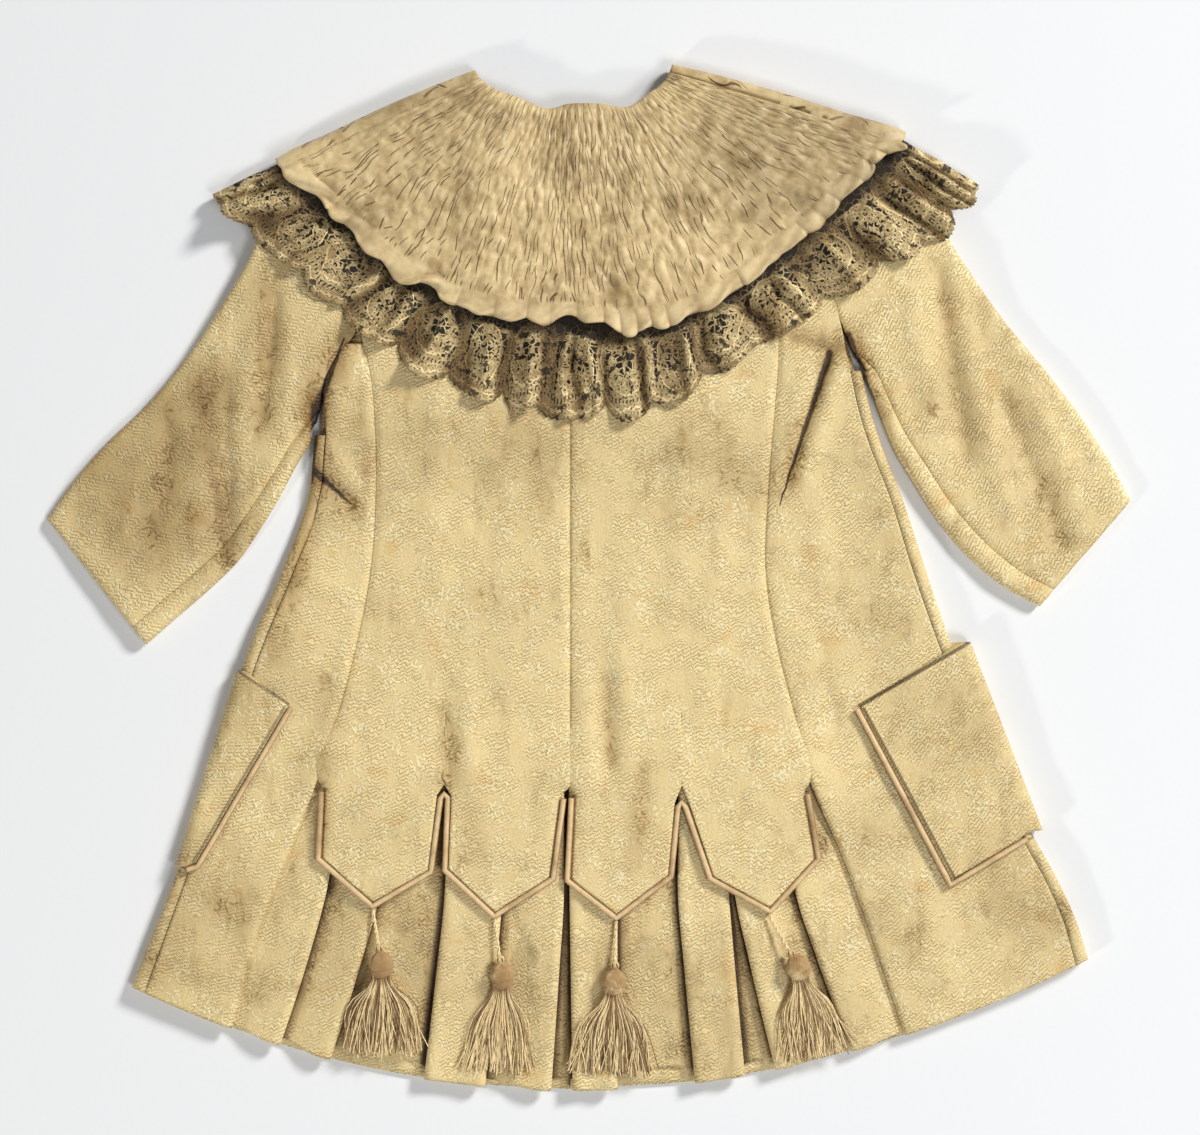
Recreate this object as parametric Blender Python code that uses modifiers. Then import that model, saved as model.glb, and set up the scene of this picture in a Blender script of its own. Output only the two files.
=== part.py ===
"""A small child's coat of figured silk, laid flat on its front with its back up.

The back has a centre seam, two side-back seams and four bound tabs over a pleated skirt. A smocked
satin collar with a gathered lace edge lies round the neck, a tassel hangs from each tab, and a patch
pocket wraps round each side. Metres, +Z up, +Y towards the neck, the coat's front on the floor.
"""

import math
from collections import namedtuple

import bmesh
import bpy
from mathutils import Vector
from mathutils.bvhtree import BVHTree

# Cloth and binding sizes
CLOTH = 0.0020
SATIN = 0.0016
LACE = 0.0009
PLEAT_WALL = 0.0013
POCKET_WALL = 0.0014
POCKET_GAP = 0.0010
SEAM = 0.0003
LAYER = 0.0004
PIPING_RADIUS = 0.0016
SLIT_ARCH, SLIT_START = 0.0008, 0.0016

# Heights of the layers' middles over the floor
FRONT_HEIGHT = CLOTH / 2
BACK_HEIGHT = 0.0046
PUFF_HEIGHT = 0.0070
TAB_HEIGHT = 0.0093
PLEAT_LEVELS = (0.0031, 0.0048, 0.0065)
LOW, MIDDLE, HIGH = PLEAT_LEVELS
PLEAT_DEPTH = 0.007
PLEAT_HOLD = 0.0085
CROWN = 0.0004

# The collar's own layers under the coat's front lift it by this much
COLLAR_LIFT = 0.0037
COLLAR_CENTRE = Vector((0.0, 0.278))
COLLAR_REACH = Vector((0.226, 0.2025))
POCKET_LIFT = POCKET_WALL + LAYER
COLLAR_LOFT = 0.0045
RIDGES_ACROSS_BACK = 42
SMOCKING_ROWS = 10
SMOCKING_RISE = 0.0016
SCALLOPS = 16
LACE_WAVE = 0.0022

CENTRE_X = -0.0108
UNDERARM_LEFT, UNDERARM_RIGHT = 5, 4
TAB_ROW, HEM_ROW = 10, 14
SEAM_STRIP = 0.003
SLEEVE_SEAM = 0.012
UNDERARM_CLEAR = 0.0024

# One row for each level down the coat: the row's height at the centre back, its left and right ends on
# the outline, and the two side-back seams. Rows above the underarm end at the armhole.
BodyRow = namedtuple("BodyRow", "centre_y left_x left_y left_seam right_seam right_x right_y")
BODY_ROWS = (
    BodyRow(0.2444, -0.1404, 0.2195, -0.1404, 0.1307, 0.1307, 0.2346),
    BodyRow(0.2022, -0.1323, 0.1941, -0.1323, 0.1247, 0.1247, 0.2049),
    BodyRow(0.1671, -0.1258, 0.1655, -0.1258, 0.1231, 0.1231, 0.1752),
    BodyRow(0.1347, -0.1245, 0.1347, -0.1240, 0.1031, 0.1339, 0.1385),
    BodyRow(0.1077, -0.1415, 0.1077, -0.1183, 0.1010, 0.1458, 0.1094),
    BodyRow(0.0748, -0.1485, 0.0748, -0.1156, 0.0983, 0.1544, 0.0770),
    BodyRow(0.0402, -0.1523, 0.0402, -0.1156, 0.0956, 0.1685, 0.0402),
    BodyRow(0.0024, -0.1658, 0.0024, -0.1183, 0.0945, 0.1809, 0.0024),
    BodyRow(-0.0354, -0.1815, -0.0338, -0.1253, 0.0999, 0.1933, -0.0343),
    BodyRow(-0.0732, -0.1933, -0.0678, -0.1345, 0.1091, 0.2070, -0.0694),
    BodyRow(-0.1137, -0.2051, -0.1056, -0.1463, 0.1183, 0.2215, -0.1045),
    BodyRow(-0.1542, -0.2168, -0.1434, -0.1615, 0.1350, 0.2380, -0.1396),
    BodyRow(-0.1974, -0.2293, -0.1785, -0.1766, 0.1490, 0.2535, -0.1677),
    BodyRow(-0.2379, -0.2390, -0.2017, -0.1858, 0.1598, 0.2624, -0.1877),
    BodyRow(-0.2775, -0.2468, -0.2217, -0.1928, 0.1696, 0.2684, -0.2066),
)

# Shoulder, neck and shoulder again, along the coat's top edge
Corner = namedtuple("Corner", "x y")
TOP_EDGE = (
    Corner(-0.1404, 0.2195),
    Corner(-0.0605, 0.2600),
    Corner(-0.0400, 0.2480),
    Corner(-0.0200, 0.2425),
    Corner(0.0000, 0.2450),
    Corner(0.0200, 0.2435),
    Corner(0.0420, 0.2630),
    Corner(0.1307, 0.2346),
)

# The tabs' cloth, left to right: where each one's sides start at the slits, its lower corners and its tip
Tab = namedtuple("Tab", "left_x left_y right_x right_y low_left tip low_right")
TABS = (
    Tab(-0.1424, -0.1150, -0.0822, -0.1185, (-0.1440, -0.1520), (-0.1166, -0.1758), (-0.0872, -0.1585)),
    Tab(-0.0744, -0.1185, -0.0160, -0.1185, (-0.0760, -0.1580), (-0.0513, -0.1812), (-0.0216, -0.1622)),
    Tab(-0.0080, -0.1185, 0.0454, -0.1230, (-0.0102, -0.1634), (0.0140, -0.1822), (0.0418, -0.1612)),
    Tab(0.0532, -0.1230, 0.1150, -0.1165, (0.0662, -0.1620), (0.0964, -0.1785), (0.1208, -0.1520)),
)
TAB_STEPS = (0.0, 0.34, 0.68, 1.0)

# The skirt's fold edges: their place under the tabs, at the tab tips and at the hem. A lap of 1 folds
# the left-hand cloth over the right-hand cloth, and -1 the right-hand over the left-hand.
Fold = namedtuple("Fold", "top middle hem lap")
FOLDS = (
    Fold(-0.1323, -0.1409, -0.1663, 1),
    Fold(-0.1053, -0.1123, -0.1393, 1),
    Fold(-0.0761, -0.0783, -0.0896, -1),
    Fold(-0.0486, -0.0470, -0.0560, 1),
    Fold(-0.0137, -0.0137, -0.0205, 1),
    Fold(-0.0115, -0.0112, -0.0097, -1),
    Fold(0.0162, 0.0151, 0.0151, 1),
    Fold(0.0475, 0.0470, 0.0562, -1),
    Fold(0.0707, 0.0748, 0.0837, 1),
    Fold(0.0729, 0.0774, 0.0994, -1),
    Fold(0.1030, 0.1096, 0.1404, -1),
)
SKIRT_LEFT = Fold(-0.1601, -0.1801, -0.2028, 0)
SKIRT_RIGHT = Fold(0.1304, 0.1531, 0.1796, 0)
SKIRT_TOP_ROW = 9.85
SKIRT_ROWS = 5
TURN_ANGLES = (90, 30, -30, -90)
POCKET_ANGLES = (54, 18, -18, -54, -90)
SLEEVE_ANGLES = (90, 45, 0, -45, -90)
FOLD_ANGLES = (-54, -18, 18, 54, 90)

# Sleeve sections from just below the armhole to the cuff: the edge towards the body and the outer edge
SleeveRow = namedtuple("SleeveRow", "inner_x inner_y outer_x outer_y")
LEFT_SLEEVE = (
    SleeveRow(-0.1538, 0.0663, -0.1685, 0.1995),
    SleeveRow(-0.1592, 0.0573, -0.1836, 0.1688),
    SleeveRow(-0.1658, 0.0446, -0.1987, 0.1439),
    SleeveRow(-0.1760, 0.0273, -0.2182, 0.1158),
    SleeveRow(-0.1901, 0.0068, -0.2398, 0.0905),
    SleeveRow(-0.2079, -0.0105, -0.2603, 0.0710),
    SleeveRow(-0.2236, -0.0240, -0.2776, 0.0510),
    SleeveRow(-0.2387, -0.0375, -0.2921, 0.0305),
)
RIGHT_SLEEVE = (
    SleeveRow(0.1523, 0.0975, 0.1647, 0.2157),
    SleeveRow(0.1577, 0.0834, 0.1847, 0.1925),
    SleeveRow(0.1647, 0.0662, 0.2020, 0.1661),
    SleeveRow(0.1755, 0.0478, 0.2230, 0.1369),
    SleeveRow(0.1912, 0.0240, 0.2462, 0.1088),
    SleeveRow(0.2095, 0.0041, 0.2668, 0.0813),
    SleeveRow(0.2257, -0.0084, 0.2819, 0.0575),
    SleeveRow(0.2419, -0.0170, 0.2911, 0.0402),
)

# Rays of the collar from the neck to its edge and on to the lace's edge: round the back from the left
# shoulder fold to the right one, and from each fold to the centre front
Ray = namedtuple("Ray", "neck_x neck_y edge_x edge_y lace_x lace_y")
BACK_RAYS = (
    Ray(-0.0597, 0.2665, -0.1663, 0.2174, -0.2009, 0.2001),
    Ray(-0.0502, 0.2600, -0.1323, 0.1866, -0.1658, 0.1682),
    Ray(-0.0378, 0.2557, -0.0929, 0.1547, -0.1183, 0.1282),
    Ray(-0.0230, 0.2500, -0.0540, 0.1396, -0.0691, 0.0969),
    Ray(-0.0108, 0.2525, -0.0162, 0.1356, -0.0189, 0.0878),
    Ray(0.0054, 0.2525, 0.0270, 0.1320, 0.0313, 0.0861),
    Ray(0.0205, 0.2509, 0.0686, 0.1450, 0.0821, 0.1169),
    Ray(0.0324, 0.2590, 0.1134, 0.1790, 0.1404, 0.1526),
    Ray(0.0392, 0.2640, 0.1485, 0.2120, 0.1863, 0.1806),
    Ray(0.0428, 0.2693, 0.1679, 0.2314, 0.2079, 0.2049),
)
LEFT_FRONT_RAYS = (
    Ray(-0.0150, 0.2292, -0.0120, 0.1347, -0.0120, 0.0986),
    Ray(-0.0324, 0.2373, -0.0810, 0.1504, -0.0999, 0.1212),
    Ray(-0.0486, 0.2497, -0.1296, 0.1850, -0.1593, 0.1688),
)
RIGHT_FRONT_RAYS = (
    Ray(0.0324, 0.2519, 0.1107, 0.1817, 0.1377, 0.1590),
    Ray(0.0119, 0.2390, 0.0594, 0.1482, 0.0756, 0.1212),
    Ray(-0.0066, 0.2292, -0.0096, 0.1347, -0.0096, 0.0986),
)

# Large soft ridges (a rise over nought) and troughs of the upper cloth, each along a line
Swell = namedtuple("Swell", "x1 y1 x2 y2 rise width")
SWELLS = (
    Swell(-0.1560, 0.0600, -0.1760, -0.0250, 0.0016, 0.018),
    Swell(-0.1760, -0.0250, -0.2000, -0.0900, 0.0016, 0.018),
    Swell(0.1600, 0.0700, 0.1840, -0.0100, 0.0016, 0.018),
    Swell(0.1840, -0.0100, 0.2120, -0.0900, 0.0016, 0.018),
    Swell(-0.1566, 0.1485, -0.2592, 0.0024, 0.0019, 0.030),
    Swell(0.1674, 0.1645, 0.2619, 0.0159, 0.0019, 0.030),
    Swell(-0.1728, 0.1458, -0.1760, 0.0810, -0.0012, 0.008),
    Swell(-0.1980, 0.0920, -0.1966, 0.0100, -0.0012, 0.009),
    Swell(0.1863, 0.1640, 0.2010, 0.0700, -0.0012, 0.008),
    Swell(0.2214, 0.0945, 0.2500, 0.0200, -0.0011, 0.009),
    Swell(0.1242, 0.1120, 0.1140, 0.0640, -0.0011, 0.007),
    Swell(-0.0820, 0.1000, -0.0900, 0.0300, 0.0010, 0.014),
    Swell(0.0600, 0.0900, 0.0480, 0.0000, 0.0010, 0.016),
    Swell(-0.0350, 0.0300, -0.0400, -0.0700, 0.0009, 0.018),
    Swell(0.0220, 0.0000, 0.0240, -0.0900, 0.0008, 0.014),
)

# Tassels: the tab tip each hangs from, its head, the middle of its cut ends, and its spread there
Tassel = namedtuple("Tassel", "tip_x tip_y head_x head_y end_x end_y spread")
TASSELS = (
    Tassel(-0.1166, -0.1799, -0.1118, -0.2093, -0.1118, -0.2560, 0.038),
    Tassel(-0.0513, -0.1853, -0.0470, -0.2152, -0.0502, -0.2650, 0.034),
    Tassel(0.0140, -0.1863, 0.0130, -0.2184, 0.0113, -0.2670, 0.041),
    Tassel(0.0966, -0.1833, 0.1118, -0.2109, 0.1215, -0.2570, 0.033),
)
TASSEL_HEIGHT = 0.0124
LOCK_HEIGHT = 0.0093
HEAD_RADIUS, HEAD_LENGTH = 0.0062, 0.0068
KNOT_RADIUS = 0.0026
THREAD_RADIUS = 0.0009
LOCKS, LOCK_RADIUS = 12, 0.0011

# Pockets: the sewn side's two corners and the two corners on the outline
Pocket = namedtuple("Pocket", "top_x top_y low_x low_y edge_top_x edge_top_y edge_low_x edge_low_y")
LEFT_POCKET = Pocket(-0.1622, -0.0705, -0.2118, -0.1550, -0.1905, -0.0520, -0.2235, -0.1570)
RIGHT_POCKET = Pocket(0.1452, -0.0715, 0.1944, -0.1640, 0.2050, -0.0365, 0.2438, -0.1375)
POCKETS = {"left": LEFT_POCKET, "right": RIGHT_POCKET}
POCKET_ROWS = (8, 12)
POCKET_TURN = 0.0056
POCKET_HIDDEN = 0.032
FRONT_LIFTED, LIFT_END = 0.0325, 0.0095

PALE_SILK = (0.66, 0.53, 0.33, 1.0)
CREAM_SATIN = (0.70, 0.56, 0.38, 1.0)
DRY_LACE = (0.38, 0.32, 0.22, 1.0)
CORD_SILK = (0.72, 0.58, 0.36, 1.0)


def clear_scene():
    """Remove what a new file starts with."""
    for old in list(bpy.data.objects):
        bpy.data.objects.remove(old)


def new_collection(name):
    collection = bpy.data.collections.new(name)
    bpy.context.scene.collection.children.link(collection)
    return collection


def finish_material(name, colour, roughness):
    material = bpy.data.materials.new(name)
    material.use_nodes = True
    shader = material.node_tree.nodes["Principled BSDF"]
    shader.inputs["Base Color"].default_value = colour
    shader.inputs["Roughness"].default_value = roughness
    shader.inputs["Metallic"].default_value = 0.0
    return material


def mix(a, b, share):
    return a + (b - a) * share


def ease(low, high, value):
    """Nought below low, one above high, and a smooth rise between."""
    share = min(1.0, max(0.0, (value - low) / (high - low)))
    return share * share * (3 - 2 * share)


def along(values, place):
    """The value at a place along evenly spaced values, on a smooth curve through them."""
    last = len(values) - 1
    index = min(last - 1, max(0, int(math.floor(place))))
    t = place - index
    before = values[max(0, index - 1)]
    here, there = values[index], values[index + 1]
    after = values[min(last, index + 2)]
    slope_here, slope_there = (there - before) / 2, (after - here) / 2
    return (
        (2 * t**3 - 3 * t**2 + 1) * here
        + (t**3 - 2 * t**2 + t) * slope_here
        + (3 * t**2 - 2 * t**3) * there
        + (t**3 - t**2) * slope_there
    )


def column(rows, name):
    return [getattr(row, name) for row in rows]


def body(name, row):
    """One of the body's named measures, at any place between its rows."""
    return along(column(BODY_ROWS, name), row)


def top_edge_y(x):
    """The height of the shoulder and neck line at x."""
    for first, second in zip(TOP_EDGE, TOP_EDGE[1:]):
        if x <= second.x:
            return mix(first.y, second.y, max(0.0, (x - first.x) / (second.x - first.x)))
    return TOP_EDGE[-1].y


def body_y(row, x):
    """Where a row of the body runs at x: a shallow arc, or near the top the neck and shoulder line."""
    lowest = max(row, 2.0)
    side = "left" if x < CENTRE_X else "right"
    middle, end = body("centre_y", lowest), body(side + "_y", lowest)
    reach = (x - CENTRE_X) / (body(side + "_x", lowest) - CENTRE_X)
    arc = middle + (end - middle) * reach * reach
    return arc if row >= 2 else mix(top_edge_y(x), arc, row / 2)


def distance_to_line(x, y, swell):
    """How far a point is from a swell's line."""
    start, way = Vector((swell.x1, swell.y1)), Vector((swell.x2 - swell.x1, swell.y2 - swell.y1))
    share = (Vector((x, y)) - start).dot(way) / way.length_squared
    return (Vector((x, y)) - start - way * min(1.0, max(0.0, share))).length


def side_edge_x(side, y):
    """The outline of the side beside the pocket, as one straight line."""
    first, last = (BODY_ROWS[row] for row in POCKET_ROWS)
    top_y, low_y = getattr(first, side + "_y"), getattr(last, side + "_y")
    return mix(getattr(first, side + "_x"), getattr(last, side + "_x"), (y - top_y) / (low_y - top_y))


def pocket_lift(x, y):
    """How much the hidden part of a pocket lifts the cloth that lies on it."""
    side, sign = ("left", 1) if x < 0 else ("right", -1)
    inwards = sign * (x - side_edge_x(side, y))
    across = ease(FRONT_LIFTED + 0.014, FRONT_LIFTED + 0.006, inwards)
    return POCKET_LIFT * across * ease(0.002, -0.030, y) * ease(-0.202, -0.181, y)


def collar_lift(x, y):
    reach = math.hypot((x - COLLAR_CENTRE.x) / COLLAR_REACH.x, (y - COLLAR_CENTRE.y) / COLLAR_REACH.y)
    return COLLAR_LIFT * (1 - ease(1.01, 1.2, reach))


def front_z(x, y):
    """Middle of the lower cloth: flat on the floor but for what lies under it."""
    return FRONT_HEIGHT + collar_lift(x, y) + pocket_lift(x, y)


def back_z(x, y):
    """Middle of the upper cloth, with its large folds."""
    swells = sum(s.rise * math.exp(-((distance_to_line(x, y, s) / s.width) ** 2)) for s in SWELLS)
    settled = BACK_HEIGHT + collar_lift(x, y) + pocket_lift(x, y) + swells
    return mix(settled, PUFF_HEIGHT, ease(-0.078, -0.106, y))


def tab_z(x, y, tabs=True):
    """Middle of the back's cloth, which rises over the top of the skirt. A side rises only beside it."""
    left, right = body("left_seam", 9.9), body("right_seam", 9.9)
    inside = ease(left - 0.014, left - 0.001, x) * ease(right + 0.014, right + 0.001, x)
    rise = ease(-0.078, -0.106, y) * (1.0 if tabs and y < -0.112 else inside)
    if not tabs:
        rise *= ease(-0.128, -0.112, y)
    return mix(back_z(x, y), TAB_HEIGHT, rise)


def cloth(name, columns, rows, place, material, wall=CLOTH, keep=None):
    """One panel: a flat grid whose points are moved to their places, then given its wall."""
    mesh = bpy.data.meshes.new(name)
    grid = bmesh.new()
    bmesh.ops.create_grid(grid, x_segments=columns, y_segments=rows, size=0.5)
    cells = {}
    for vertex in grid.verts:
        cells[vertex] = (round((vertex.co.x + 0.5) * columns), round((vertex.co.y + 0.5) * rows))
        vertex.co = place(*cells[vertex])
    if keep:
        gone = [f for f in grid.faces if not keep(*(min(cells[v][k] for v in f.verts) for k in (0, 1)))]
        bmesh.ops.delete(grid, geom=gone, context="FACES")
    bmesh.ops.recalc_face_normals(grid, faces=grid.faces)
    grid.to_mesh(mesh)
    grid.free()
    mesh.shade_smooth()
    mesh.materials.append(material)
    panel = bpy.data.objects.new(name, mesh)
    COAT.objects.link(panel)
    if wall:
        thickness = panel.modifiers.new("Wall", "SOLIDIFY")
        thickness.thickness = wall
        thickness.offset = 0.0
        thickness.use_even_offset = True
    return panel


def walled(name, outer, inner, material):
    """A wall from its two faces, each given as its columns, its rows and the place of a point in them."""
    shell = bmesh.new()
    for columns, rows, place in (outer, inner):
        before = set(shell.verts)
        bmesh.ops.create_grid(shell, x_segments=len(columns) - 1, y_segments=len(rows) - 1, size=0.5)
        made = [v for v in shell.verts if v not in before]
        for vertex in made:
            i = round((vertex.co.x + 0.5) * (len(columns) - 1))
            j = round((vertex.co.y + 0.5) * (len(rows) - 1))
            vertex.co = place(columns[i], rows[j])
    bmesh.ops.reverse_faces(shell, faces=list({f for v in made for f in v.link_faces}))
    bmesh.ops.bridge_loops(shell, edges=[e for e in shell.edges if e.is_boundary])
    bmesh.ops.recalc_face_normals(shell, faces=shell.faces)
    mesh = bpy.data.meshes.new(name)
    shell.to_mesh(mesh)
    shell.free()
    mesh.shade_smooth()
    mesh.materials.append(material)
    wall = bpy.data.objects.new(name, mesh)
    COAT.objects.link(wall)
    return wall


def seam_x(side, row, gap):
    """The side-back seam, moved by a gap towards the centre (more than nought) or the side."""
    sign = 1 if side == "left" else -1
    return body(side + "_seam", row) + sign * gap


def fold_at(side, row):
    """The fold at a side: the middle of its round, and the heights it joins."""
    sign = 1 if side == "left" else -1
    edge = body(side + "_x", row)
    inset = edge + sign * 0.004
    y = body_y(row, inset)
    low, high = front_z(inset, y), back_z(inset, y)
    return edge + sign * ((high - low) / 2 + CLOTH / 2), low, high


def strip_place(line_a, line_b, tab, columns):
    """Places for one strip of the back, from the neck down to its tab's edge."""
    body_rows = TAB_ROW

    def place(i, j):
        w = i / columns
        if j <= body_rows:
            row = j
            x = mix(line_a(row), line_b(row), w)
            y = body_y(row, x)
        else:
            share = TAB_STEPS[j - body_rows - 1]
            top = Vector((mix(tab.left_x, tab.right_x, w), mix(tab.left_y, tab.right_y, w)))
            ends = (tab.low_left, tab.tip) if w < 0.5 else (tab.tip, tab.low_right)
            low = Vector(ends[0]).lerp(Vector(ends[1]), 2 * w if w < 0.5 else 2 * w - 1)
            x, y = top.lerp(low, share)
        return Vector((x, y, tab_z(x, y)))

    return place


def make_back(side, tabs, columns=6):
    """Half the back: two strips side by side, sewn as one cloth down to the slit between its tabs."""
    sign = 1 if side == "left" else -1
    middle = (tabs[0].right_x + tabs[1].left_x) / 2

    def outer(row):
        return seam_x(side, row, SEAM / 2)

    def slit(row):
        return mix(middle * 0.94, middle, row / TAB_ROW)

    def centre(row):
        return CENTRE_X - sign * SEAM / 2

    lines = (outer, slit, centre) if side == "left" else (centre, slit, outer)
    rows = TAB_ROW + len(TAB_STEPS)
    first = strip_place(lines[0], lines[1], tabs[0], columns)
    second = strip_place(lines[1], lines[2], tabs[1], columns)
    strips = [
        cloth(f"strip_{side}_{n}", columns, rows, place, SILK, wall=0)
        for n, place in enumerate((first, second))
    ]
    return sew(f"back_{side}", strips)


def sew(name, strips):
    """Joins strips whose edges meet into one panel, and gives it its wall."""
    joined = bmesh.new()
    for strip in strips:
        joined.from_mesh(strip.data)
    bmesh.ops.remove_doubles(joined, verts=joined.verts, dist=0.00005)
    bmesh.ops.recalc_face_normals(joined, faces=joined.faces)
    mesh = strips[0].data
    joined.to_mesh(mesh)
    joined.free()
    mesh.shade_smooth()
    mesh.name = name
    panel = strips[0]
    panel.name = name
    for strip in strips[1:]:
        bpy.data.objects.remove(strip)
    wall = panel.modifiers.new("Wall", "SOLIDIFY")
    wall.thickness = CLOTH
    wall.offset = 0.0
    wall.use_even_offset = True
    return panel


def make_side(side, columns=4):
    """The side body, from the side-back seam to the side seam near the fold."""
    sign = 1 if side == "left" else -1
    underarm = UNDERARM_LEFT if side == "left" else UNDERARM_RIGHT
    first_row = 3.4 if side == "left" else 2.35
    rows = [first_row, *range(math.ceil(first_row), HEM_ROW + 1)]

    def place(i, j):
        row = rows[j]
        inner = seam_x(side, row, -SEAM / 2)
        outer = fold_at(side, row)[0] + sign * (SEAM_STRIP + SEAM)
        if row < underarm:
            armhole_end = armhole(side, 1 - row / underarm)
            outer = armhole_end.x + 2 * sign * SEAM
        x = mix(inner, outer, i / columns)
        y = body_y(row, x)
        if row < underarm:
            y = mix(y, armhole_end.y, i / columns)
        return Vector((x, y, tab_z(x, y, tabs=False)))

    return cloth(f"side_{side}", columns, len(rows) - 1, place, SILK)


def make_front(side):
    """A front, from the centre front out to the side, round the fold and up to the side seam."""
    sign = 1 if side == "left" else -1
    underarm = UNDERARM_LEFT if side == "left" else UNDERARM_RIGHT
    flat, turned = 5, len(FOLD_ANGLES)
    columns = flat + turned + 1

    def place(i, row):
        fold, low, high = fold_at(side, row)
        start = CENTRE_X - sign * SEAM
        edge = body(side + "_x", row) + sign * SEAM if row < underarm else fold
        if i <= flat:
            lifted = edge + sign * FRONT_LIFTED
            inner = lifted + sign * LIFT_END
            stops = (start, mix(start, inner, 0.36), mix(start, inner, 0.72), inner, lifted, edge)
            x = stops[i]
            y = body_y(row, x)
            return Vector((x, y, front_z(x, y) if i < flat else low))
        if i == columns:
            x = fold + sign * SEAM_STRIP
            y = body_y(row, x)
            return Vector((x, y, back_z(x, y)))
        angle = math.radians(FOLD_ANGLES[i - flat - 1])
        x = fold - sign * (high - low) / 2 * math.cos(angle)
        return Vector((x, body_y(row, x), (high + low) / 2 + (high - low) / 2 * math.sin(angle)))

    def keep(i, j):
        return i < flat or j >= underarm

    return cloth(f"front_{side}", columns, HEM_ROW, place, SILK, keep=keep)


def fold_x(fold, row):
    """A skirt fold's place on a row: on a curve through its three given places."""
    share = (row - TAB_ROW) / (HEM_ROW - TAB_ROW)
    tips = 0.36
    if share < tips:
        return mix(fold.top, fold.middle, share / tips)
    return mix(fold.middle, fold.hem, (share - tips) / (1 - tips))


def turn(x, upper, lower, side):
    """A round turn of the cloth from one level to another, reaching out to x."""
    radius, middle = (upper - lower) / 2, (upper + lower) / 2
    centre = x - side * (radius + PLEAT_WALL / 2)
    angles = [math.radians(a) for a in TURN_ANGLES]
    return [(centre + side * radius * math.cos(a), middle + radius * math.sin(a)) for a in angles]


def skirt_path(row):
    """The skirt's cloth in section along a row: level stretches, crowns and turned-under folds."""
    start, end = fold_x(SKIRT_LEFT, row), fold_x(SKIRT_RIGHT, row)
    edge = MIDDLE - 0.0004
    path = [(start, edge), (start + 0.0120, edge)]
    for number, fold in enumerate(FOLDS):
        x = fold_x(fold, row)
        before = FOLDS[number - 1].lap if number else 1
        after = FOLDS[number + 1].lap if number < len(FOLDS) - 1 else -1
        if fold.lap > 0:
            if before < 0:
                path.append((mix(path[-1][0], x - PLEAT_HOLD, 0.5), HIGH + CROWN))
            path.append((x - PLEAT_HOLD, HIGH))
            path += turn(x, HIGH, MIDDLE, 1) + turn(x - PLEAT_DEPTH, MIDDLE, LOW, -1)
            if after > 0:
                path.append((x + 0.0022, LOW))
        else:
            if before < 0:
                path.append((x - 0.0022, LOW))
            path += turn(x + PLEAT_DEPTH, MIDDLE, LOW, 1)[::-1] + turn(x, HIGH, MIDDLE, -1)[::-1]
            path.append((x + PLEAT_HOLD, HIGH))
    return [*path, (end - 0.0120, edge), (end, edge)]


def beside(path, distance):
    """A path moved sideways by a distance, with mitred corners."""
    ways = [(Vector(b) - Vector(a)).normalized() for a, b in zip(path, path[1:])]
    moved = []
    for point, before, after in zip(path, [ways[0], *ways], [*ways, ways[-1]]):
        normal = Vector((-before.y - after.y, before.x + after.x)).normalized()
        moved.append(Vector(point) + normal * distance / max(0.7, normal.dot(Vector((-before.y, before.x)))))
    return moved


def make_skirt():
    """The pleated skirt under the tabs, as one cloth with turned folds."""
    rows = [mix(SKIRT_TOP_ROW, HEM_ROW, j / SKIRT_ROWS) for j in range(SKIRT_ROWS + 1)]

    def face(distance):
        paths = [beside(skirt_path(row), distance) for row in rows]

        def place(i, j):
            x, z = paths[j][i]
            short = (HIGH - min(HIGH, z)) * 1.1 * ease(TAB_ROW, HEM_ROW, rows[j])
            return Vector((x, body_y(rows[j], x) + short, z))

        return range(len(paths[0])), range(SKIRT_ROWS + 1), place

    return walled("skirt", face(PLEAT_WALL / 2), face(-PLEAT_WALL / 2), SILK)


def armhole(side, v):
    """The armhole's plan from the underarm (0) to the shoulder tip (1), straight between the rows."""
    sign = 1 if side == "left" else -1
    row = (UNDERARM_LEFT if side == "left" else UNDERARM_RIGHT) * (1 - v)
    first = min(int(row), HEM_ROW - 1)
    ends = [Vector((body(side + "_x", r), body(side + "_y", r))) for r in (first, first + 1)]
    return ends[0].lerp(ends[1], row - first) - Vector((sign * SEAM, 0.0))


def sleeve_plan(side, q, v):
    """The sleeve's plan: q counts its sections down from the armhole, v runs across it."""
    rows = LEFT_SLEEVE if side == "left" else RIGHT_SLEEVE
    if q < 1:
        return armhole(side, v)
    inner = Vector((along(column(rows, "inner_x"), q - 1), along(column(rows, "inner_y"), q - 1)))
    outer = Vector((along(column(rows, "outer_x"), q - 1), along(column(rows, "outer_y"), q - 1)))
    return inner.lerp(outer, v)


def sleeve_level(side, q, v, top):
    """A point on the sleeve's upper or lower layer."""
    plan = sleeve_plan(side, q, v)
    return Vector((*plan, back_z(*plan) if top else front_z(*plan)))


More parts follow.
